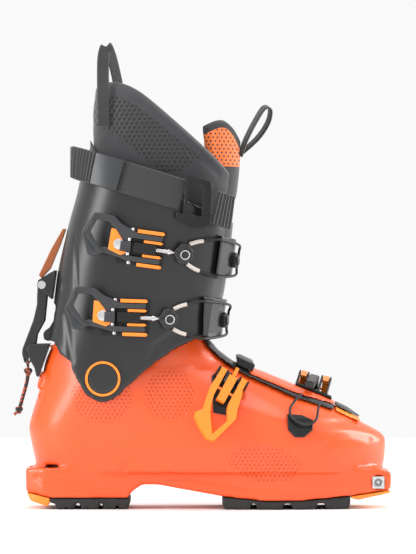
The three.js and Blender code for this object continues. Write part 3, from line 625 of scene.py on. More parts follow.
KEPT[shell_orange].append("lower_shell")
for material, nodes in KEPT.items():
    for node in nodes:
        mesh = frame["nodes"][node].data
        mesh.materials.clear()
        mesh.materials.append(material)
unfinished = set(frame["nodes"]) - {n for nodes in KEPT.values() for n in nodes}
print("solids without a finish:", sorted(unfinished))

# %% The cord's pieces ride with the lock lever
for piece, nodes in ((cord_run, ["pull_cord"]), (cord_eye, ["cord_eye"]), (cord_tail, []),
                     (knot_upper, ["cord_knot_upper"]), (knot_lower, ["cord_knot_lower"])):
    finish(piece, cord_braid, "lock_lever", "cord", *nodes)

# %% [markdown]
# ## The form of the walls
# The shell and the cuff are free curved forms: their outline from the side, their half width and
# their roundness change all the way up. Each form is given here as a field that is above 0 inside
# and falls to 0 on the wall, so that any point near the wall can be drawn exactly onto it.

# %% Smooth curves through a few known sizes, in millimetres
def through(*pairs):
    at = np.array([p[0] for p in pairs], float)
    value = np.array([p[1] for p in pairs], float)
    slope = np.empty_like(value)
    for i in range(len(pairs)):
        a, b = max(i - 1, 0), min(i + 1, len(pairs) - 1)
        slope[i] = (value[b] - value[a]) / (at[b] - at[a])

    def curve(x):
        x = np.clip(np.asarray(x, float), at[0], at[-1])
        i = np.clip(np.searchsorted(at, x, side="right") - 1, 0, len(at) - 2)
        span = at[i + 1] - at[i]
        t = (x - at[i]) / span
        return ((2 * t**3 - 3 * t**2 + 1) * value[i] + (t**3 - 2 * t**2 + t) * span * slope[i]
                + (3 * t**2 - 2 * t**3) * value[i + 1] + (t**3 - t**2) * span * slope[i + 1])
    return curve


def ease(low, high, x):
    t = np.clip((np.asarray(x, float) - low) / (high - low), 0, 1)
    return t * t * (3 - 2 * t)


# %% The lower shell's form
shell_rear = through((30, -49.2), (36, -48.7), (55, -52.6), (67, -54), (80, -50.9), (92, -47.2), (100, -45),
                     (108, -43), (116, -41.8), (124, -39.6), (132, -36), (140, -31), (148, -24))
shell_front = through((30, 240.5), (40, 242), (52, 242.8), (58, 242), (62, 238.5), (66, 232), (71, 222.5),
                      (75.5, 217), (84.7, 201), (98.5, 167), (112.8, 132), (118.5, 116), (125.5, 106),
                      (132, 98.5), (138.5, 94), (148, 89))
shell_nose = through((30, 52), (50, 56), (60, 60), (70, 75), (88, 105), (110, 95), (130, 60), (148, 50))
foot_plan = through((-50, 33), (-30, 36), (0, 37.5), (30, 39.5), (60, 42), (100, 47), (140, 51.5), (165, 52),
                    (190, 49.5), (215, 43.5), (232, 38), (243, 34))
foot_centre = through((-50, 0), (60, 0), (150, 3), (243, 5.5))


def shell_belly(x, z):
    ankle = 12 * np.exp(-(((x - 8.5) / 35) ** 2) - ((z - 105) / 30) ** 2)
    return foot_plan(x) * (1 - 0.22 * ease(70, 140, z)) * (0.93 + 0.07 * ease(30, 52, z)) + ankle


def shell_ends(x, z):
    rear = np.minimum((x - shell_rear(z)) / 40, 1)
    front = np.minimum((shell_front(z) - x) / shell_nose(z), 1)
    return (1 - (1 - rear) ** 2) * (1 - (1 - front) ** 2)


def shell_field(p):
    x, y, z = p[:, 0], p[:, 1], p[:, 2]
    return shell_ends(x, z) - ((y - foot_centre(x)) / shell_belly(x, z)) ** 2


# %% The cuff's form
cuff_rear = through((84, -50), (100, -50), (115, -47.5), (130, -43.5), (140, -39.5), (150, -37.2),
                    (171.6, -33.5), (197, -30), (230, -22.5), (238, -20.5), (264, -13.5), (300, -7))
cuff_front = through((84, 102), (110, 103), (130, 103), (145, 102.5), (165, 105), (178, 108), (200, 111.5),
                     (224, 114.5), (240, 116), (300, 118))
cuff_half = through((84, 51), (108, 50.8), (150, 50.5), (190, 51), (230, 53.5), (265, 55), (300, 56))
CUFF_POWER = 2.5


def cuff_field(p):
    x, y, z = p[:, 0], p[:, 1], p[:, 2]
    a, b = cuff_rear(z), cuff_front(z)
    share = np.abs(2 * x - a - b) / (b - a)
    across = np.abs(y) / cuff_half(z)
    return 1 - (share**CUFF_POWER + across**CUFF_POWER) ** (1 / CUFF_POWER)


def on_oval(low, high, half, power, angle):
    """X from the low end round to the high end, and the half width there, on a squarish oval."""
    c, s = math.cos(angle), math.sin(angle)
    return ((low + high) / 2 - (high - low) / 2 * math.copysign(abs(c) ** (2 / power), c),
            half * math.copysign(abs(s) ** (2 / power), s))


NEAR_EDGE = 0.999  # keeps a point off the very edge of the oval, where its side turns over


def cuff_side(x, z, above=0.0):
    """The Y of the cuff's outer side at this X and Z."""
    a, b = float(cuff_rear(z)) - above, float(cuff_front(z)) + above
    share = min(abs((2 * x - a - b) / (b - a)), NEAR_EDGE)
    return -(float(cuff_half(z)) + above) * (1 - share**CUFF_POWER) ** (1 / CUFF_POWER)


def cuff_nose(y, z, above=0.0):
    """The point of the cuff's front at this Y and Z."""
    a, b = float(cuff_rear(z)) - above, float(cuff_front(z)) + above
    across = min(abs(y / (float(cuff_half(z)) + above)), NEAR_EDGE)
    share = (1 - across**CUFF_POWER) ** (1 / CUFF_POWER)
    return Vector(((a + b) / 2 + (b - a) / 2 * share, y, z))


print("cuff side at the pivot", round(-cuff_side(8.5, 105), 1))


# %% [markdown]
# ## Moulded walls
# A moulded wall has no sharp edges and no facets. A copy of the frame's solid is merged, remeshed
# into small even faces and relaxed, which rounds every edge a little, as a mould does. Its faces
# that lie near the true form are then drawn onto it, so the long curves come out smooth.

# %% Remeshing a copy of a solid, and drawing it onto its form
def gradient(field, p, h=0.05):
    return np.stack([(field(p + h * e) - field(p - h * e)) / (2 * h) for e in np.eye(3)], axis=1)


def coords(mesh):
    co = np.empty(len(mesh.vertices) * 3)
    mesh.vertices.foreach_get("co", co)
    return co.reshape(-1, 3)


def vertex_normals(mesh):
    out = np.empty(len(mesh.vertices) * 3, np.float32)
    mesh.vertex_normals.foreach_get("vector", out)
    return out.reshape(-1, 3).astype(float)


def remeshed(node, name, voxel, relax=3):
    source = frame["nodes"][node]
    obj = linked(name, source.data.copy())
    only(obj)
    bpy.ops.object.mode_set(mode="EDIT")
    bpy.ops.mesh.select_all(action="SELECT")
    bpy.ops.mesh.remove_doubles(threshold=0.01 * MM)
    bpy.ops.object.mode_set(mode="OBJECT")
    block = obj.modifiers.new("even_faces", "REMESH")
    block.mode = "VOXEL"
    block.voxel_size = voxel * MM
    rounding = obj.modifiers.new("rounding", "SMOOTH")
    rounding.factor = 0.5
    rounding.iterations = relax
    apply_all(obj)
    return obj


def draw_onto(obj, field, reach, where=lambda p: np.ones(len(p), bool)):
    """Moves the faces that lie near the form, and look the same way, exactly onto it."""
    p = coords(obj.data) / MM
    normals = vertex_normals(obj.data)
    slope = gradient(field, p)
    steep = np.linalg.norm(slope, axis=1) + 1e-9
    facing = -(slope * normals).sum(1) / steep
    apart = np.abs(field(p)) / steep
    share = ease(0.55, 0.9, facing) * (apart < reach) * where(p)
    target = p.copy()
    for _ in range(5):
        slope = gradient(field, target)
        size = (slope**2).sum(1) + 1e-9
        step = -(field(target) / size)[:, None] * slope
        length = np.linalg.norm(step, axis=1)[:, None] + 1e-9
        target += step * np.minimum(1, 1.0 / length)
    p += (target - p) * share[:, None]
    obj.data.vertices.foreach_set("co", (p * MM).ravel())
    obj.data.update()


def groove(obj, line, width, depth, side=0, where=None):
    """Presses a soft groove along a line seen from the side. side -1 is the outer side only."""
    p = coords(obj.data) / MM
    normals = vertex_normals(obj.data)
    near = np.full(len(p), 1e9)
    for (x0, z0), (x1, z1) in zip(line, line[1:]):
        ab = np.array([x1 - x0, z1 - z0])
        ap = p[:, [0, 2]] - (x0, z0)
        t = np.clip((ap @ ab) / (ab @ ab), 0, 1)
        near = np.minimum(near, np.linalg.norm(ap - t[:, None] * ab, axis=1))
    fall = (1 - np.clip(near / width, 0, 1) ** 2) ** 2 * depth
    if side:
        fall = fall * (np.sign(p[:, 1]) == side)
    if where is not None:
        fall = fall * where(p)
    p -= normals * fall[:, None]
    obj.data.vertices.foreach_set("co", (p * MM).ravel())
    obj.data.update()


# %% The lower shell
VOXEL = 1.9
NEAR_FORM = 3.0  # a face this close to the form is drawn onto it
SOLE_LEDGE, SHELL_RIM = 36, 149
shell = remeshed("lower_shell", "shell_wall", VOXEL)
draw_onto(shell, shell_field, NEAR_FORM, lambda p: (p[:, 2] > SOLE_LEDGE) & (p[:, 2] < SHELL_RIM))


def outer_skin(p):
    return shell_field(p) < 0.06


groove(shell, [(184, 48), (190, 50), (201, 60), (214, 61), (228, 58)], 5, 0.8, where=outer_skin)
groove(shell, [(-46, 27), (-41, 23), (-16, 21), (9, 18)], 4.5, 1.0, where=outer_skin)
groove(shell, [(9, 18), (20, 25), (29, 36)], 5, 0.9, where=outer_skin)
groove(shell, [(60, 29), (72, 27), (120, 19), (170, 13), (205, 14)], 4, 0.6)
shell.data.shade_smooth()
finish(shell, shell_orange, "shell", "shell_orange", "lower_shell")

# %% The cuff
cuff = remeshed("cuff", "cuff_wall", VOXEL)
draw_onto(cuff, cuff_field, NEAR_FORM)
groove(cuff, [(64.3, 143), (52, 134), (46.9, 122)], 5, 1.1, side=-1)
groove(cuff, [(-15.3, 224), (-14.2, 204), (-13.3, 184)], 2.6, 0.6, side=-1)
groove(cuff, [(-22.7, 160), (-20, 140), (-17.7, 122)], 4, 0.8, side=-1)
cuff.data.shade_smooth()
finish(cuff, cuff_black, "cuff", "cuff_black", "cuff")

# %% [markdown]
# ## The liner
# The liner is a padded sock of cloth over foam. What shows is its leg: thick walls with a rolled
# collar that slopes down to the front, and a honeycomb mesh panel between two pressed seams. It is
# one sheet laid from the front edge on one side, round the back, to the front edge on the other,
# with an outer and an inner side, and then subdivided.

# %% The liner's form and its sloping top edge
liner_rear = through((130, -26), (165, -26), (200, -25), (230, -17.8), (264, -8), (290, -2), (300, -0.6),
                     (318, -1.2), (334, -0.6), (355, 2.6))
liner_front = through((130, 96), (165, 98), (200, 106), (226, 110), (250, 114), (268, 118), (355, 118))
liner_half = through((130, 43), (165, 45.5), (200, 46.5), (264, 50), (300, 49.5), (330, 46.5), (355, 42))
LINER_POWER = 2.4
collar_height = through((-10, 353.4), (14.6, 353), (26, 350.5), (38.6, 344), (51.9, 334), (65, 323.3),
                        (83.8, 307.6), (100.5, 293), (110.5, 283), (116, 276))


def liner_point(angle, z, grow=0.0):
    low, high, half = (float(size(z)) for size in (liner_rear, liner_front, liner_half))
    x, y = on_oval(low - grow, high + grow, half + grow, LINER_POWER, angle)
    return Vector((x, -y, z))


# %% Soft pillows between seams
def seam_press(x, z, lines, width, depth):
    """How far a seam pulls the cloth in at a point seen from the side."""
    near = 1e9
    for line in lines:
        for (x0, z0), (x1, z1) in zip(line, line[1:]):
            dx, dz = x1 - x0, z1 - z0
            t = max(0, min(1, ((x - x0) * dx + (z - z0) * dz) / (dx * dx + dz * dz)))
            near = min(near, math.hypot(x - x0 - t * dx, z - z0 - t * dz))
    return depth * max(0, 1 - (near / width) ** 2) ** 2 if near < width else 0.0


SEAM = [(-4, 318.4), (6, 316), (13.8, 312), (21.5, 307.5), (28.7, 302), (36, 296), (42.8, 289), (52.7, 282),
        (59, 278), (63.5, 276.2), (72.6, 278.5), (80.5, 284), (88.4, 290)]
COLLAR_SEAM = [(-6, 341), (14.6, 341.5), (24, 339), (36, 332.5), (48.5, 323), (61, 313),
               (79.5, 297.5), (96, 284), (104, 276)]


# %% A pad from a sheet of points with an outer and an inner side
def inward(edge, reach, thick):
    """How far a rounded rim draws in, this far from the edge."""
    near = min(edge, reach)
    return thick / 2 * (1 - math.sqrt(max(0.0, 1 - ((reach - near) / reach) ** 2)))


def pad_sheet(name, across, rows, bottom, spot, top_at, grow_at):
    """spot(i, z, grow) is a point of the form; grow_at(i, side, x, z, below) its offset."""
    points, faces = [], []
    for i in range(across + 1):
        for side in (0, 1):
            for j in range(rows + 1):
                z = bottom
                for _ in range(4):
                    x = spot(i, z).x
                    top = float(top_at(x))
                    z = bottom + (top - bottom) * j / rows
                points.append(spot(i, z, grow_at(i, side, x, z, top - z)) * MM)
    inner = rows + 1
    stride = 2 * inner
    for i in range(across):
        for j in range(rows):
            o, n = i * stride + j, (i + 1) * stride + j
            faces.append((o, o + 1, n + 1, n))
            o, n = o + inner, n + inner
            faces.append((o, n, n + 1, o + 1))
        o, n = i * stride, (i + 1) * stride
        faces.append((o + rows, o + rows + inner, n + rows + inner, n + rows))
        faces.append((o, n, n + inner, o + inner))
    for end in (0, across * stride):
        for j in range(end, end + rows):
            faces.append((j, j + inner, j + inner + 1, j + 1))
    mesh = bpy.data.meshes.new(name)
    mesh.from_pydata(points, [], faces)
    obj = linked(name, mesh)
    faces_out(obj)
    cloth = obj.modifiers.new("soft_cloth", "SUBSURF")
    cloth.levels = cloth.render_levels = 1
    apply_all(obj)
    obj.data.shade_smooth()
    print(name, len(obj.data.polygons), "faces")
    return obj


# %% The leg of the liner
LEG_STEPS, LEG_ROWS, LEG_BOTTOM, LEG_THICK = 120, 44, 141, 6.4
LEG_OPENING = 2 * math.pi * 0.0755
ROLL_HEIGHT, SEAM_LEVEL = 9.0, 262


def leg_spot(i, z, grow=0.0):
    end = math.pi - LEG_OPENING
    return liner_point(-end + 2 * end * i / LEG_STEPS, z, grow)


def leg_grow(i, side, x, z, below):
    roll = 0.0
    if below < ROLL_HEIGHT:
        half = ROLL_HEIGHT / 2
        roll = math.sqrt(max(0.0, 1 - ((half - below) / half) ** 2)) * 1.1
    press = seam_press(x, z, (SEAM, COLLAR_SEAM), 3.2, 1.0) if z > SEAM_LEVEL else 0.0
    narrow = inward(below, 3.2, LEG_THICK)
    if side == 0:
        return -0.2 + roll * 0.8 - press - narrow
    return -LEG_THICK - roll * 0.4 + press * 0.4 + narrow


liner_leg = pad_sheet("liner_leg", LEG_STEPS, LEG_ROWS, LEG_BOTTOM, leg_spot, collar_height, leg_grow)


# %% [markdown]
# The liner's panels are one cloth with different weaves. A single material chooses between them
# by where the point lies: honeycomb mesh under the collar seam, smooth cloth on the rolled collar
# and lower down, with the holes following the wall as seen from the side.

# %% The liner's finish, honeycomb between collar and seam
def line_mask(tree, parts, line, softness=0.6):
    """1 above a line seen from the side, 0 below it, as a curve of height over X."""
    calc = partial(math_node, tree)
    curve = tree.nodes.new("ShaderNodeFloatCurve")
    low_x, high_x, low_z, high_z = -20, 130, 250, 370
    scaled = calc("DIVIDE", calc("SUBTRACT", parts.outputs["X"], low_x * MM),
                       (high_x - low_x) * MM)
    tree.links.new(scaled, curve.inputs["Value"])
    curve_points = curve.mapping.curves[0].points
    spots = [((x - low_x) / (high_x - low_x), (z - low_z) / (high_z - low_z)) for x, z in line]
    while len(curve_points) < len(spots):
        curve_points.new(0.5, 0.5)
    for point, (a, b) in zip(curve_points, spots):
        point.location = (a, b)
    curve.mapping.update()
    height = calc("ADD", calc("MULTIPLY", curve.outputs["Value"], (high_z - low_z) * MM),
                       low_z * MM)
    over = calc("SUBTRACT", parts.outputs["Z"], height)
    return calc("ADD", calc("DIVIDE", over, softness * MM), 0.5, True)


def liner_finish():
    material, tree, shader, where = new_finish("liner_finish", 0.8, sheen=0.3)
    calc = partial(math_node, tree)
    vector = where.outputs["Object"]
    parts = coordinates(tree, vector)
    above_seam = line_mask(tree, parts, [
        (-20, 321), (-4, 318.4), (13.8, 312), (28.7, 302), (42.8, 289), (63.5, 276.2), (72.6, 278.5),
        (88.4, 290), (130, 300)])
    in_collar = line_mask(tree, parts, [(-20, 341), *COLLAR_SEAM[1:-1], (130, 258)])
    honey = calc("MULTIPLY", above_seam, calc("SUBTRACT", 1.0, in_collar))
    cells = use(tree, dot_field, Vector=vector, Pitch=4.1 * MM, Radius=1.5 * MM, Softness=0.6 * MM)
    pores = use(tree, dot_field, Vector=vector, Pitch=1.0 * MM, Radius=0.3 * MM, Softness=0.2 * MM)
    hole = calc("MULTIPLY", cells.outputs["Mask"], honey)
    fuzz = noise(tree, vector, 1500)
    cloth = mixed(tree, fuzz, (0.010, 0.010, 0.012, 1), (0.030, 0.030, 0.034, 1))
    collar = mixed(tree, pores.outputs["Mask"], (0.030, 0.030, 0.034, 1), (0.012, 0.012, 0.014, 1))
    tone = mixed(tree, in_collar, cloth, collar)
    tree.links.new(mixed(tree, hole, tone, (0.0025, 0.0025, 0.003, 1)), shader.inputs["Base Color"])
    height = calc("SUBTRACT", calc("MULTIPLY", fuzz, 0.15), hole)
    bump(tree, shader, height, 0.7 * MM)
    return material


liner_finish_mat = liner_finish()
liner_leg.data.materials.append(liner_finish_mat)
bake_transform(liner_leg)
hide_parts("liner_cuff")

liner_sock = remeshed("liner_foot", "liner_sock", 3.0, 4)
liner_sock.data.shade_smooth()
finish(liner_sock, liner_cloth, "shell", "lining_fabric", "liner_foot")

# %% [markdown]
# ## The tongue
# The tongue is a curved pad behind the front opening: orange mesh with dark holes above, black
# cloth below, and a dark bound rim. It is a sheet bent to an oval like the liner's, with the same
# two sides and a rounded rim.

# %% The tongue as a bent pad
tongue_front = through((190, 90), (215, 100), (236, 107), (250, 115), (262, 119), (300, 121.8), (324, 118))
TONGUE_REAR, TONGUE_HALF = 10.0, 35.0
tongue_top = through((70, 298), (78, 302), (86, 311.5), (97, 318.5), (108.8, 321.8),
                     (116, 317), (121.8, 307))


def tongue_point(angle, z, grow=0.0):
    # the angle is 0 at the front here, so the oval is walked from its high end
    x, y = on_oval(float(tongue_front(z)) + grow, TONGUE_REAR, TONGUE_HALF + grow, LINER_POWER, angle)
    return Vector((x, y, z))


TONGUE_STEPS, TONGUE_ROWS, TONGUE_BOTTOM, TONGUE_THICK = 56, 56, 197, 5.4
TONGUE_SPREAD = math.radians(64)
TONGUE_SIDE = 42  # how far the rim is from the middle line, along the sheet


def tongue_spot(i, z, grow=0.0):
    return tongue_point(-TONGUE_SPREAD + 2 * TONGUE_SPREAD * i / TONGUE_STEPS, z, grow)


def tongue_grow(i, side, x, z, below):
    edge = min(below, (1 - abs(2 * i / TONGUE_STEPS - 1)) * TONGUE_SIDE)
    narrow = inward(edge, 3.0, TONGUE_THICK)
    rim = 0.7 * math.exp(-((edge - 3.2) / 1.6) ** 2)
    return rim - narrow if side == 0 else narrow - rim - TONGUE_THICK


def tongue_finish():
    material, tree, shader, where = new_finish("tongue_finish", 0.8, sheen=0.2)
    calc = partial(math_node, tree)
    vector = where.outputs["Object"]
    parts = coordinates(tree, vector)
    rim_line = [(70, 292), (78, 295), (86, 304.5), (97, 312), (108.8, 315), (114, 311), (121.8, 298)]
    rim = line_mask(tree, parts, [(-20, 285), *rim_line, (130, 290)], 0.4)
    panel = calc("DIVIDE", calc("SUBTRACT", parts.outputs["Z"], 283 * MM), 0.4 * MM, True)
    orange_part = calc("MULTIPLY", panel, calc("SUBTRACT", 1.0, rim))
    cells = use(tree, dot_field, Vector=vector, Pitch=3.6 * MM, Radius=1.0 * MM, Softness=0.5 * MM)
    mesh_tone = mixed(tree, cells.outputs["Mask"], (0.74, 0.15, 0.03, 1), (0.03, 0.012, 0.008, 1))
    fuzz = noise(tree, vector, 1500)
    black = mixed(tree, fuzz, (0.008, 0.008, 0.009, 1), (0.028, 0.028, 0.031, 1))
    tree.links.new(mixed(tree, orange_part, black, mesh_tone), shader.inputs["Base Color"])
    down = calc("MULTIPLY", cells.outputs["Mask"], orange_part)
    bump(tree, shader, calc("SUBTRACT", calc("MULTIPLY", fuzz, 0.2), down),
         0.6 * MM)
    return material


tongue = pad_sheet("tongue_pad", TONGUE_STEPS, TONGUE_ROWS, TONGUE_BOTTOM, tongue_spot, tongue_top,
                   tongue_grow)
finish(tongue, tongue_finish(), "cuff", "mesh_fabric", "tongue")


# %% [markdown]
# ## Webbing
# Straps and loops are flat webbing, woven and sewn. Each is a closed band with a rounded edge, laid
# along its path, with a U along it and a V across it in metres, so that the weave keeps its real
# size and follows the band round every bend.

# %% A band of webbing along a path of frames
def band(name, frames, width, thick, ripple=None):
    """frames: (centre, across, out) in millimetres. ripple(u) adds to the thickness at u."""
    half_w, r = width / 2, min(thick / 2, 0.7)
    section = []
    for j in range(9):
        v = -half_w + r + (width - 2 * r) * j / 8
        section.append((v, thick / 2))
    section.append((half_w, 0.0))
    for j in range(9):
        v = half_w - r - (width - 2 * r) * j / 8
        section.append((v, -thick / 2))
    section.append((-half_w, 0.0))
    count = len(section)
    points, uvs, run = [], [], 0.0
    last = None
    for centre, across, out in frames:
        if last is not None:
            run += (centre - last).length
        last = centre
        swell = ripple(run) if ripple else 0.0
        for v, w in section:
            extra = swell if w > 0 else 0.0
            points.append((centre + across * v + out * (w + extra)) * MM)
            uvs.append((run * MM, v * MM))
    faces = []
    for i in range(len(frames) - 1):
        for j in range(count):
            k = (j + 1) % count
            faces.append((i * count + j, i * count + k, (i + 1) * count + k, (i + 1) * count + j))
    faces.append(tuple(range(count))[::-1])
    faces.append(tuple((len(frames) - 1) * count + j for j in range(count)))
    mesh = bpy.data.meshes.new(name)
    mesh.from_pydata(points, [], faces)
    layer = mesh.uv_layers.new(name="UVMap")
    for loop in mesh.loops:
        layer.data[loop.index].uv = uvs[loop.vertex_index]
    obj = linked(name, mesh)
    only(obj)
    bpy.ops.object.mode_set(mode="EDIT")
    bpy.ops.mesh.select_all(action="SELECT")
    bpy.ops.mesh.normals_make_consistent(inside=False)
    bpy.ops.object.mode_set(mode="OBJECT")
    soften(obj, 50)
    return obj


def spline_frames(points, across, steps):
    """Frames along a smooth route, with the band's width along a slowly turning direction."""
    widths = [Vector(a).normalized() for a in across]
    route = smooth_route([Vector(p) for p in points], steps)
    frames = []
    for i, (p, k, f) in enumerate(route):
        w = widths[k].lerp(widths[k + 1], f).normalized()
        along = (route[min(i + 1, steps)][0] - route[max(i - 1, 0)][0]).normalized()
        w = (w - along * w.dot(along)).normalized()
        frames.append((p, w, along.cross(w)))
    return frames


# %% The two pull loops
rear_loop = band("rear_pull_loop_webbing", spline_frames(
    [(9, -38.6, 316), (8.7, -38.6, 336), (8.2, -34.4, 358), (8.6, -31.6, 374), (11, -28.2, 381.6),
     (14.4, -24.6, 376), (17.6, -22, 364), (20.4, -21.2, 351)],
    [(1, 0, 0.02), (1, 0, 0.02), (1, 0.05, 0.03), (1, 0.25, 0.1), (0.9, 0.5, 0.3), (0.8, 0.6, 0.5),
     (0.8, 0.6, 0.3), (0.8, 0.6, 0.2)], 64), 10, 1.7)
finish(rear_loop, webbing, "cuff", "webbing", "rear_pull_loop")
front_loop = band("front_pull_loop_webbing", spline_frames(
    [(121.6, -5.4, 292), (126, -6, 305), (134, -5, 321), (141.5, -3, 332.5), (146.6, 0, 331.5),
     (145, 3, 321), (136.6, 5, 308), (123.6, 6, 296)],
    [(-0.35, 1, 0.3)] * 8, 64), 9.4, 1.6)
finish(front_loop, webbing, "cuff", "webbing", "front_pull_loop")


# %% [markdown]
# ## The power strap
# A wide strap runs round the top of the cuff, tilted down to the front, to a buckle on the outer
# side. Seen from there it has folded ribs at the back, a smooth pad, the ribbed webbing, the
# buckle and folded ribs again.

# %% The strap's oval and its slope
STRAP_TILT = math.radians(-17)
STRAP_WIDTH = 26.0
STRAP_REAR, STRAP_FRONT, STRAP_HALF = -17.5, 125, 57.2


def strap_ring(angle, grow):
    """A point on the strap's oval; the angle runs from the back, over the outer side, to the front."""
    x, y = on_oval(STRAP_REAR - grow, STRAP_FRONT + grow, STRAP_HALF + grow, CUFF_POWER, angle)
    return Vector((x, -y, 0))


def strap_frames(x_from, x_to, grow, middle=281.5, through_back=False, steps=90, end_y=None):
    """Frames along the strap between two X places on the outer side, or round the back to the front."""
    def angle_at(x):
        low, high = 0.0, math.pi
        for _ in range(40):
            mid = (low + high) / 2
            if strap_ring(mid, grow).x < x:
                low = mid
            else:
                high = mid
        return low
    start = angle_at(x_from)
    stop = angle_at(x_to) if not through_back else -(math.pi + end_y)
    frames = []
    for i in range(steps + 1):
        angle = start + (stop - start) * i / steps
        p, q = strap_ring(angle, grow), strap_ring(angle + 0.004, grow)
        flat = (q - p).normalized()
        z = middle + math.tan(STRAP_TILT) * p.x
        slope = Vector((flat.x, flat.y, math.tan(STRAP_TILT) * flat.x)).normalized()
        out = Vector((slope.y, -slope.x, 0)).normalized()
        if out.dot(Vector((p.x - 53.7, p.y, 0))) < 0:
            out = -out
        across = slope.cross(out).normalized()
        if across.z < 0:
            across = -across
        frames.append((Vector((p.x, p.y, z)), across, out))
    return frames


strap = band("power_strap_webbing", strap_frames(74, 0, 1.4, through_back=True, steps=220, end_y=-0.62),
             STRAP_WIDTH, 2.2)
finish(strap, webbing, "cuff", "webbing", "power_strap")


def fold_ribs(pitch, depth):
    return lambda u: depth * (0.5 - 0.5 * math.cos(2 * math.pi * u / pitch))


rib_back = band("strap_rear_folds", strap_frames(-17.2, 0.5, 3.4, steps=110), STRAP_WIDTH + 0.6, 1.6,
                fold_ribs(3.4, 1.2))
finish(rib_back, webbing, "cuff", "webbing")
pad_back = band("strap_side_pad", strap_frames(1, 23, 3.9, steps=24), STRAP_WIDTH + 0.6, 2.4)
finish(pad_back, grey_plastic, "cuff", "grey_plastic", "strap_pad")
tail_fold = band("strap_front_folds", strap_frames(100, 114.5, 1.9, middle=279.5, steps=70), 28, 1.8,
                 fold_ribs(3.2, 1.0))
finish(tail_fold, webbing, "cuff", "webbing", "strap_tail")

# %% [markdown]
# ## Small moulded and machined parts
# Soles, bumpers, gaskets, brackets and lugs keep the frame's shape, but no real part has knife
# edges. Remeshing each one finely and relaxing it rounds its edges.

# %% The body and the slot of each solid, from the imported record
BODY_OF = {n: b for b, nodes in frame["record"]["behaviour"]["bodies"].items() for n in nodes}
SLOT_OF = {s["node"]: s["material_slot"] for s in frame["record"]["subparts"]}
FINISH_OF = {node: material for material, nodes in KEPT.items() for node in nodes}

ROUNDED = {
    1.1: ["heel_sole", "forefoot_sole", "heel_bumper", "toe_bumper", "instep_flap", "instep_gasket",
          "toe_gasket", "toe_trim", "spoiler"],
    0.6: ["lock_lever", "rear_bracket", "spine_arm", "lever_bracket", "leaf_strip", "toe_fitting",
          "heel_fitting", "strap_buckle", "upper_buckle_catch", "lower_buckle_catch",
          "instep_catch", "toe_rack",
          "upper_buckle_base", "lower_buckle_base", "instep_buckle_base", "toe_buckle_base",
          "toe_buckle_bail"],
}
for voxel, nodes in ROUNDED.items():
    for node in nodes:
        piece = remeshed(node, node + "_rounded", voxel * (1), 2)
        piece.data.shade_smooth()
        finish(piece, FINISH_OF[node], BODY_OF[node], SLOT_OF[node], node)


# %% [markdown]
# ## Buckles
# Both cuff buckles are a forked lever on two pairs of lugs, a bar that crosses to the cable block,
# and a wire loop that hooks on a catch. Flat parts are drawn as a filled curve with a hole where the
# part has one; its extrude and bevel give the thickness and the rounded rim. Round parts are
# turned from a profile.

# %% Frames that stand on the walls
def frame_at(origin, along, out):
    """u runs along, w stands out, v lies across."""
    w = Vector(out).normalized()
    u = Vector(along)
    u = (u - w * u.dot(w)).normalized()
    v = w.cross(u)
    m = Matrix((u, v, w)).transposed().to_4x4()
    m.translation = Vector(origin)
    return m


def mm_matrix(m):
    return Matrix.Scale(MM, 4) @ m


def soft_corners(points, cut=1.2, steps=3):
    """The outline with each corner replaced by a small arc."""
    result = []
    count = len(points)
    for i in range(count):
        a, b, c = (Vector(points[i - 1]), Vector(points[i]), Vector(points[(i + 1) % count]))
        p = b + (a - b).normalized() * min(cut, (a - b).length * 0.4)
        q = b + (c - b).normalized() * min(cut, (c - b).length * 0.4)
        for k in range(steps + 1):
            t = k / steps
            result.append((1 - t) ** 2 * p + 2 * t * (1 - t) * b + t * t * q)
    return result


def disc(u, v, radius, count=28):
    return [(u + radius * math.cos(2 * math.pi * i / count), v + radius * math.sin(2 * math.pi * i / count))
            for i in range(count)]


def rectangle(u0, u1, v0, v1):
    return [(u0, v0), (u1, v0), (u1, v1), (u0, v1)]


def cut_plate(name, matrix, outer, holes=(), low=0.0, high=1.0, rim=0.5, corner=1.0):
    """A flat part cut to an outline, with rounded rims, standing in a frame in millimetres."""
    curve = bpy.data.curves.new(name, "CURVE")
    curve.dimensions = "2D"
    curve.fill_mode = "BOTH"
    rim = min(rim, (high - low) / 2 - 0.01)
    curve.extrude = (high - low) / 2 - rim
    curve.bevel_depth = rim
    curve.bevel_resolution = 2
    curve.offset = -rim
    for loop in (outer, *holes):
        points = soft_corners(loop, corner) if corner and len(loop) < 24 else [Vector(p) for p in loop]
        add_line(curve, points, closed=True)
    obj = to_mesh(linked(name, curve))
    obj.data.transform(mm_matrix(matrix @ Matrix.Translation((0, 0, (low + high) / 2))))
    faces_out(obj)
    soften(obj, 40)
    return obj


def turned(name, matrix, outline, sides=24):
    """A round part turned from (along, radius) pairs, its axis along the frame's u."""
    points, faces = [], []
    for along, radius in outline:
        for i in range(sides):
            a = 2 * math.pi * i / sides
            points.append((along, radius * math.cos(a), radius * math.sin(a)))
    rings = len(outline)
    for k in range(rings - 1):
        for i in range(sides):
            j = (i + 1) % sides
            faces.append((k * sides + i, k * sides + j, (k + 1) * sides + j, (k + 1) * sides + i))
    faces.append(tuple(range(sides)))
    faces.append(tuple(range((rings - 1) * sides, rings * sides))[::-1])
    mesh = bpy.data.meshes.new(name)
    mesh.from_pydata(points, [], faces)
    mesh.transform(mm_matrix(matrix))
    obj = linked(name, mesh)
    faces_out(obj)
    soften(obj, 40)
    return obj


def joined(name, pieces):
    """Several bits of one finish become one piece."""
    bpy.ops.object.select_all(action="DESELECT")
    for piece in pieces:
        piece.select_set(True)
    bpy.context.view_layer.objects.active = pieces[0]
    bpy.ops.object.join()
    pieces[0].name = name
    return pieces[0]


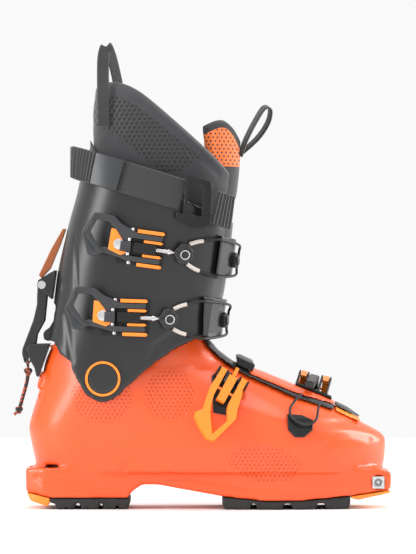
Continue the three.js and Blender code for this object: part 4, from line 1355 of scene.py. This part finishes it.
def across_at(matrix, u, v, w):
    """A frame whose u runs along the buckle's v, for pins across it."""
    turn = Matrix(((0, 1, 0), (1, 0, 0), (0, 0, -1))).to_4x4()
    return matrix @ Matrix.Translation((u, v, w)) @ turn


def pin_across(name, matrix, u, v0, v1, w, radius):
    length = v1 - v0
    rim, cut = radius * 0.7, radius * 0.3
    profile = [(0, rim), (cut, radius), (length - cut, radius), (length, rim)]
    return turned(name, across_at(matrix, u, v0, w), profile, 16)


# %% What both cuff buckles share
CUFF_LEVER = [
    (-56, 23.8), (-64, 6.4), (-57, -11), (-49.4, -11.6), (-45.6, -7.8), (-33.8, -9.6), (-24.9, -12),
    (2.6, -12), (2.6, -7), (-23, -7), (-23, 7), (2.6, 7), (2.6, 12), (-18.8, 12.4), (-26, 15.3), (-32.5, 18),
    (-38.9, 23.2), (-52.8, 24.2)]
GRIP_WINDOW = [(-53, 18.6), (-58, 6.6), (-52, -5.6), (-44, -2.6), (-35, -3.4), (-37, 12), (-42, 17.8)]
GRIP_STRAND = [(-61.6, 8.4), (-59.6, 3.2), (-51.6, -6.2), (-46, -8.8), (-43.4, -6.8), (-49.4, -2.2),
               (-57, 8.2), (-53.4, 17), (-56.2, 19.4)]
WEDGE = [(-40.2, 13.2), (-36.4, 12.8), (-30, 5), (-25.6, -5.4), (-30, -8), (-40.8, -4.4)]
CABLE_BLOCK = [(13.4, -1.6), (18.4, -8.6), (23.4, -8.4), (28.8, -3.4), (28.8, 3.4), (23.4, 8.4), (18.4, 8.6),
               (13.4, 1.6)]
TO_CATCH = 60  # along a buckle, from its middle to its catch
RIB_PITCH = 1.9
ferrule_grey = moulded("ferrule_grey", (0.55, 0.50, 0.46), 0.4)


def cuff_buckle(name, x, z, tilt):
    a = math.radians(tilt)

    def at(u, v, above=0.0):
        px = x + u * math.cos(a) + v * math.sin(a)
        pz = z - u * math.sin(a) + v * math.cos(a)
        return Vector((px, cuff_side(px, pz, above), pz))

    out = (at(1, 0) - at(-1, 0)).cross(at(0, 1) - at(0, -1))
    m = frame_at(at(0, 0), (math.cos(a), 0, -math.sin(a)), out)
    lever_body, bail_body = name + "_lever", name + "_bail"
    prefix = name + "_buckle_"
    lever = joined(prefix + "grip", [
        cut_plate("plate", m, CUFF_LEVER, [GRIP_WINDOW], 3.6, 8.4, 1.1, 1.6),
        cut_plate("strand", m, GRIP_STRAND, [], 7.4, 10.2, 0.9, 1.6),
        cut_plate("bridge", m, rectangle(-31.4, -22.6, -4.2, 4.2), [], 8, 11.2, 0.7, 0.6),
        cut_plate("arm_up", m, rectangle(-24, 2.4, 7.4, 11.6), [], 7.8, 10, 0.8, 1.2),
        cut_plate("arm_down", m, rectangle(-24, 2.4, -11.6, -7.4), [], 7.8, 10, 0.8, 1.2)])
    finish(lever, grey_plastic, lever_body, "grey_plastic", prefix + "lever")
    wedge = cut_plate(prefix + "wedge", m, WEDGE, [], 4.4, 9.2, 0.5, 0.8)
    finish(wedge, bright_orange, lever_body, "bright_orange")
    rivets = joined(prefix + "lever_rivets", [
        cut_plate("rivet", m, disc(-32.6, 1.0, 4.4), [], 8.8, 10.1, 0.35, 0),
        *[pin_across("pin", m, u, v0, v1, w, radius)
          for u, v0, v1, w, radius in ((-22.6, 12.2, 15.6, 6.4, 1.7), (-22.6, -14.6, -11.6, 6.4, 1.7),
                                       (-24.4, 4.4, 7.4, 8.8, 1.5), (-24.4, -7.4, -4.4, 8.8, 1.5))]])
    finish(rivets, steel, lever_body, "steel")
    strips = joined(prefix + "orange_arms", [
        cut_plate("arm", m, [(u0, v0), (u1, v0), (u1 + 1.6, (v0 + v1) / 2), (u1, v1), (u0, v1)], [],
                  low, 9.9, 0.6, 0.5)
        for u0, u1, v0, v1, low in ((-12.4, 2, 4.6, 7.0, 6.8), (-18.6, 2.6, 12.2, 15.2, 6.0),
                                    (-12.4, 2, -7.0, -4.6, 6.8), (-16, 3.2, -15.2, -12.2, 6.0))])
    finish(strips, bright_orange, "cuff", "bright_orange")
    bar = cut_plate(prefix + "bar", m, rectangle(-20.6, -1.6, -4.1, 4.1), [], 3.9, 10.4, 0.5, 0.6)
    finish(bar, black_metal, bail_body, "black_metal", prefix + "bail")
    ribs = [(-3, 1.6), (-2.4, 2.1)]
    for k in range(5):
        ribs += [(along + k * RIB_PITCH, radius)
                 for along, radius in ((-1.8, 2.1), (-1.5, 1.75), (-0.7, 1.75), (-0.4, 2.1))]
    tip = turned(prefix + "threaded_pin", m @ Matrix.Translation((0, 0, 7.4)),
                 [*ribs, (7.6, 2.1), (8, 2.6), (9, 2.6), (13.4, 0.5)])
    finish(tip, steel, bail_body, "steel")
    block = joined(prefix + "hex_block", [
        cut_plate("hex", m, CABLE_BLOCK, [], 3.4, 8.0, 0.9, 1.0),
        cut_plate("facet", m, [(15, 0.5), (19, 7.4), (23.4, 7.2), (19.5, 1)], [], 7.4, 9.0, 0.7, 0.6)])
    finish(block, black_plastic, bail_body, "black_plastic", prefix + "cable_block")
    medal = cut_plate(prefix + "medallion", m, disc(22.6, -0.6, 4.0), [disc(22.6, -0.6, 3.1)],
                      7.6, 8.8, 0.3, 0)
    finish(medal, steel, bail_body, "steel")
    run = [(25.4, 8.2, 4.6), (31, 10.9, 4.3), (36, 12.4, 4.4), (46, 15, 6.4), (53, 15.4, 8)]
    strand = [at(u, v, h) for u, v, h in run]
    back = [at(u, -v, h) for u, v, h in reversed(run)]
    nose_z = z - TO_CATCH * math.sin(a)
    bend = [cuff_nose(y, nose_z + v, 7.6)
            for y, v in ((-14, 12.6), (-5.5, 7), (-3, 0), (-5.5, -7), (-14, -12.6))]
    wire, _ = thread(prefix + "wire", [*strand, *bend, *back], 2.2 * MM, 96)
    wire = to_mesh(wire)
    finish(wire, wire_rope, bail_body, "wire_rope", prefix + "cable")
    sleeves = [to_mesh(thread("sleeve", points, 3.3 * MM, 10)[0]) for points in (strand[:3], back[-3:])]
    finish(joined(prefix + "ferrules", sleeves), ferrule_grey, bail_body, "wire_rope")
    side_step = cuff_nose(-16, nose_z) - cuff_nose(-12, nose_z)
    k = frame_at(cuff_nose(-14, nose_z), -side_step, side_step.cross(Vector((0, 0, -1))))
    ribbed = []
    for i in range(60):
        t = 2 * math.pi * i / 60
        r = 6.1 + (0.35 if i % 3 else -0.35)
        ribbed.append((r * math.cos(t), r * math.sin(t)))
    knob = joined(prefix + "hook_knob", [
        cut_plate("grip_ring", k, ribbed, [], 1.6, 7.6, 0.5, 0),
        cut_plate("cap", k, disc(0, 0, 4.6), [], 7, 9.6, 0.9, 0)])
    finish(knob, black_metal, "cuff", "black_metal")


cuff_buckle("upper", 53.6, 213.9, 8)
cuff_buckle("lower", 41, 158, 2)
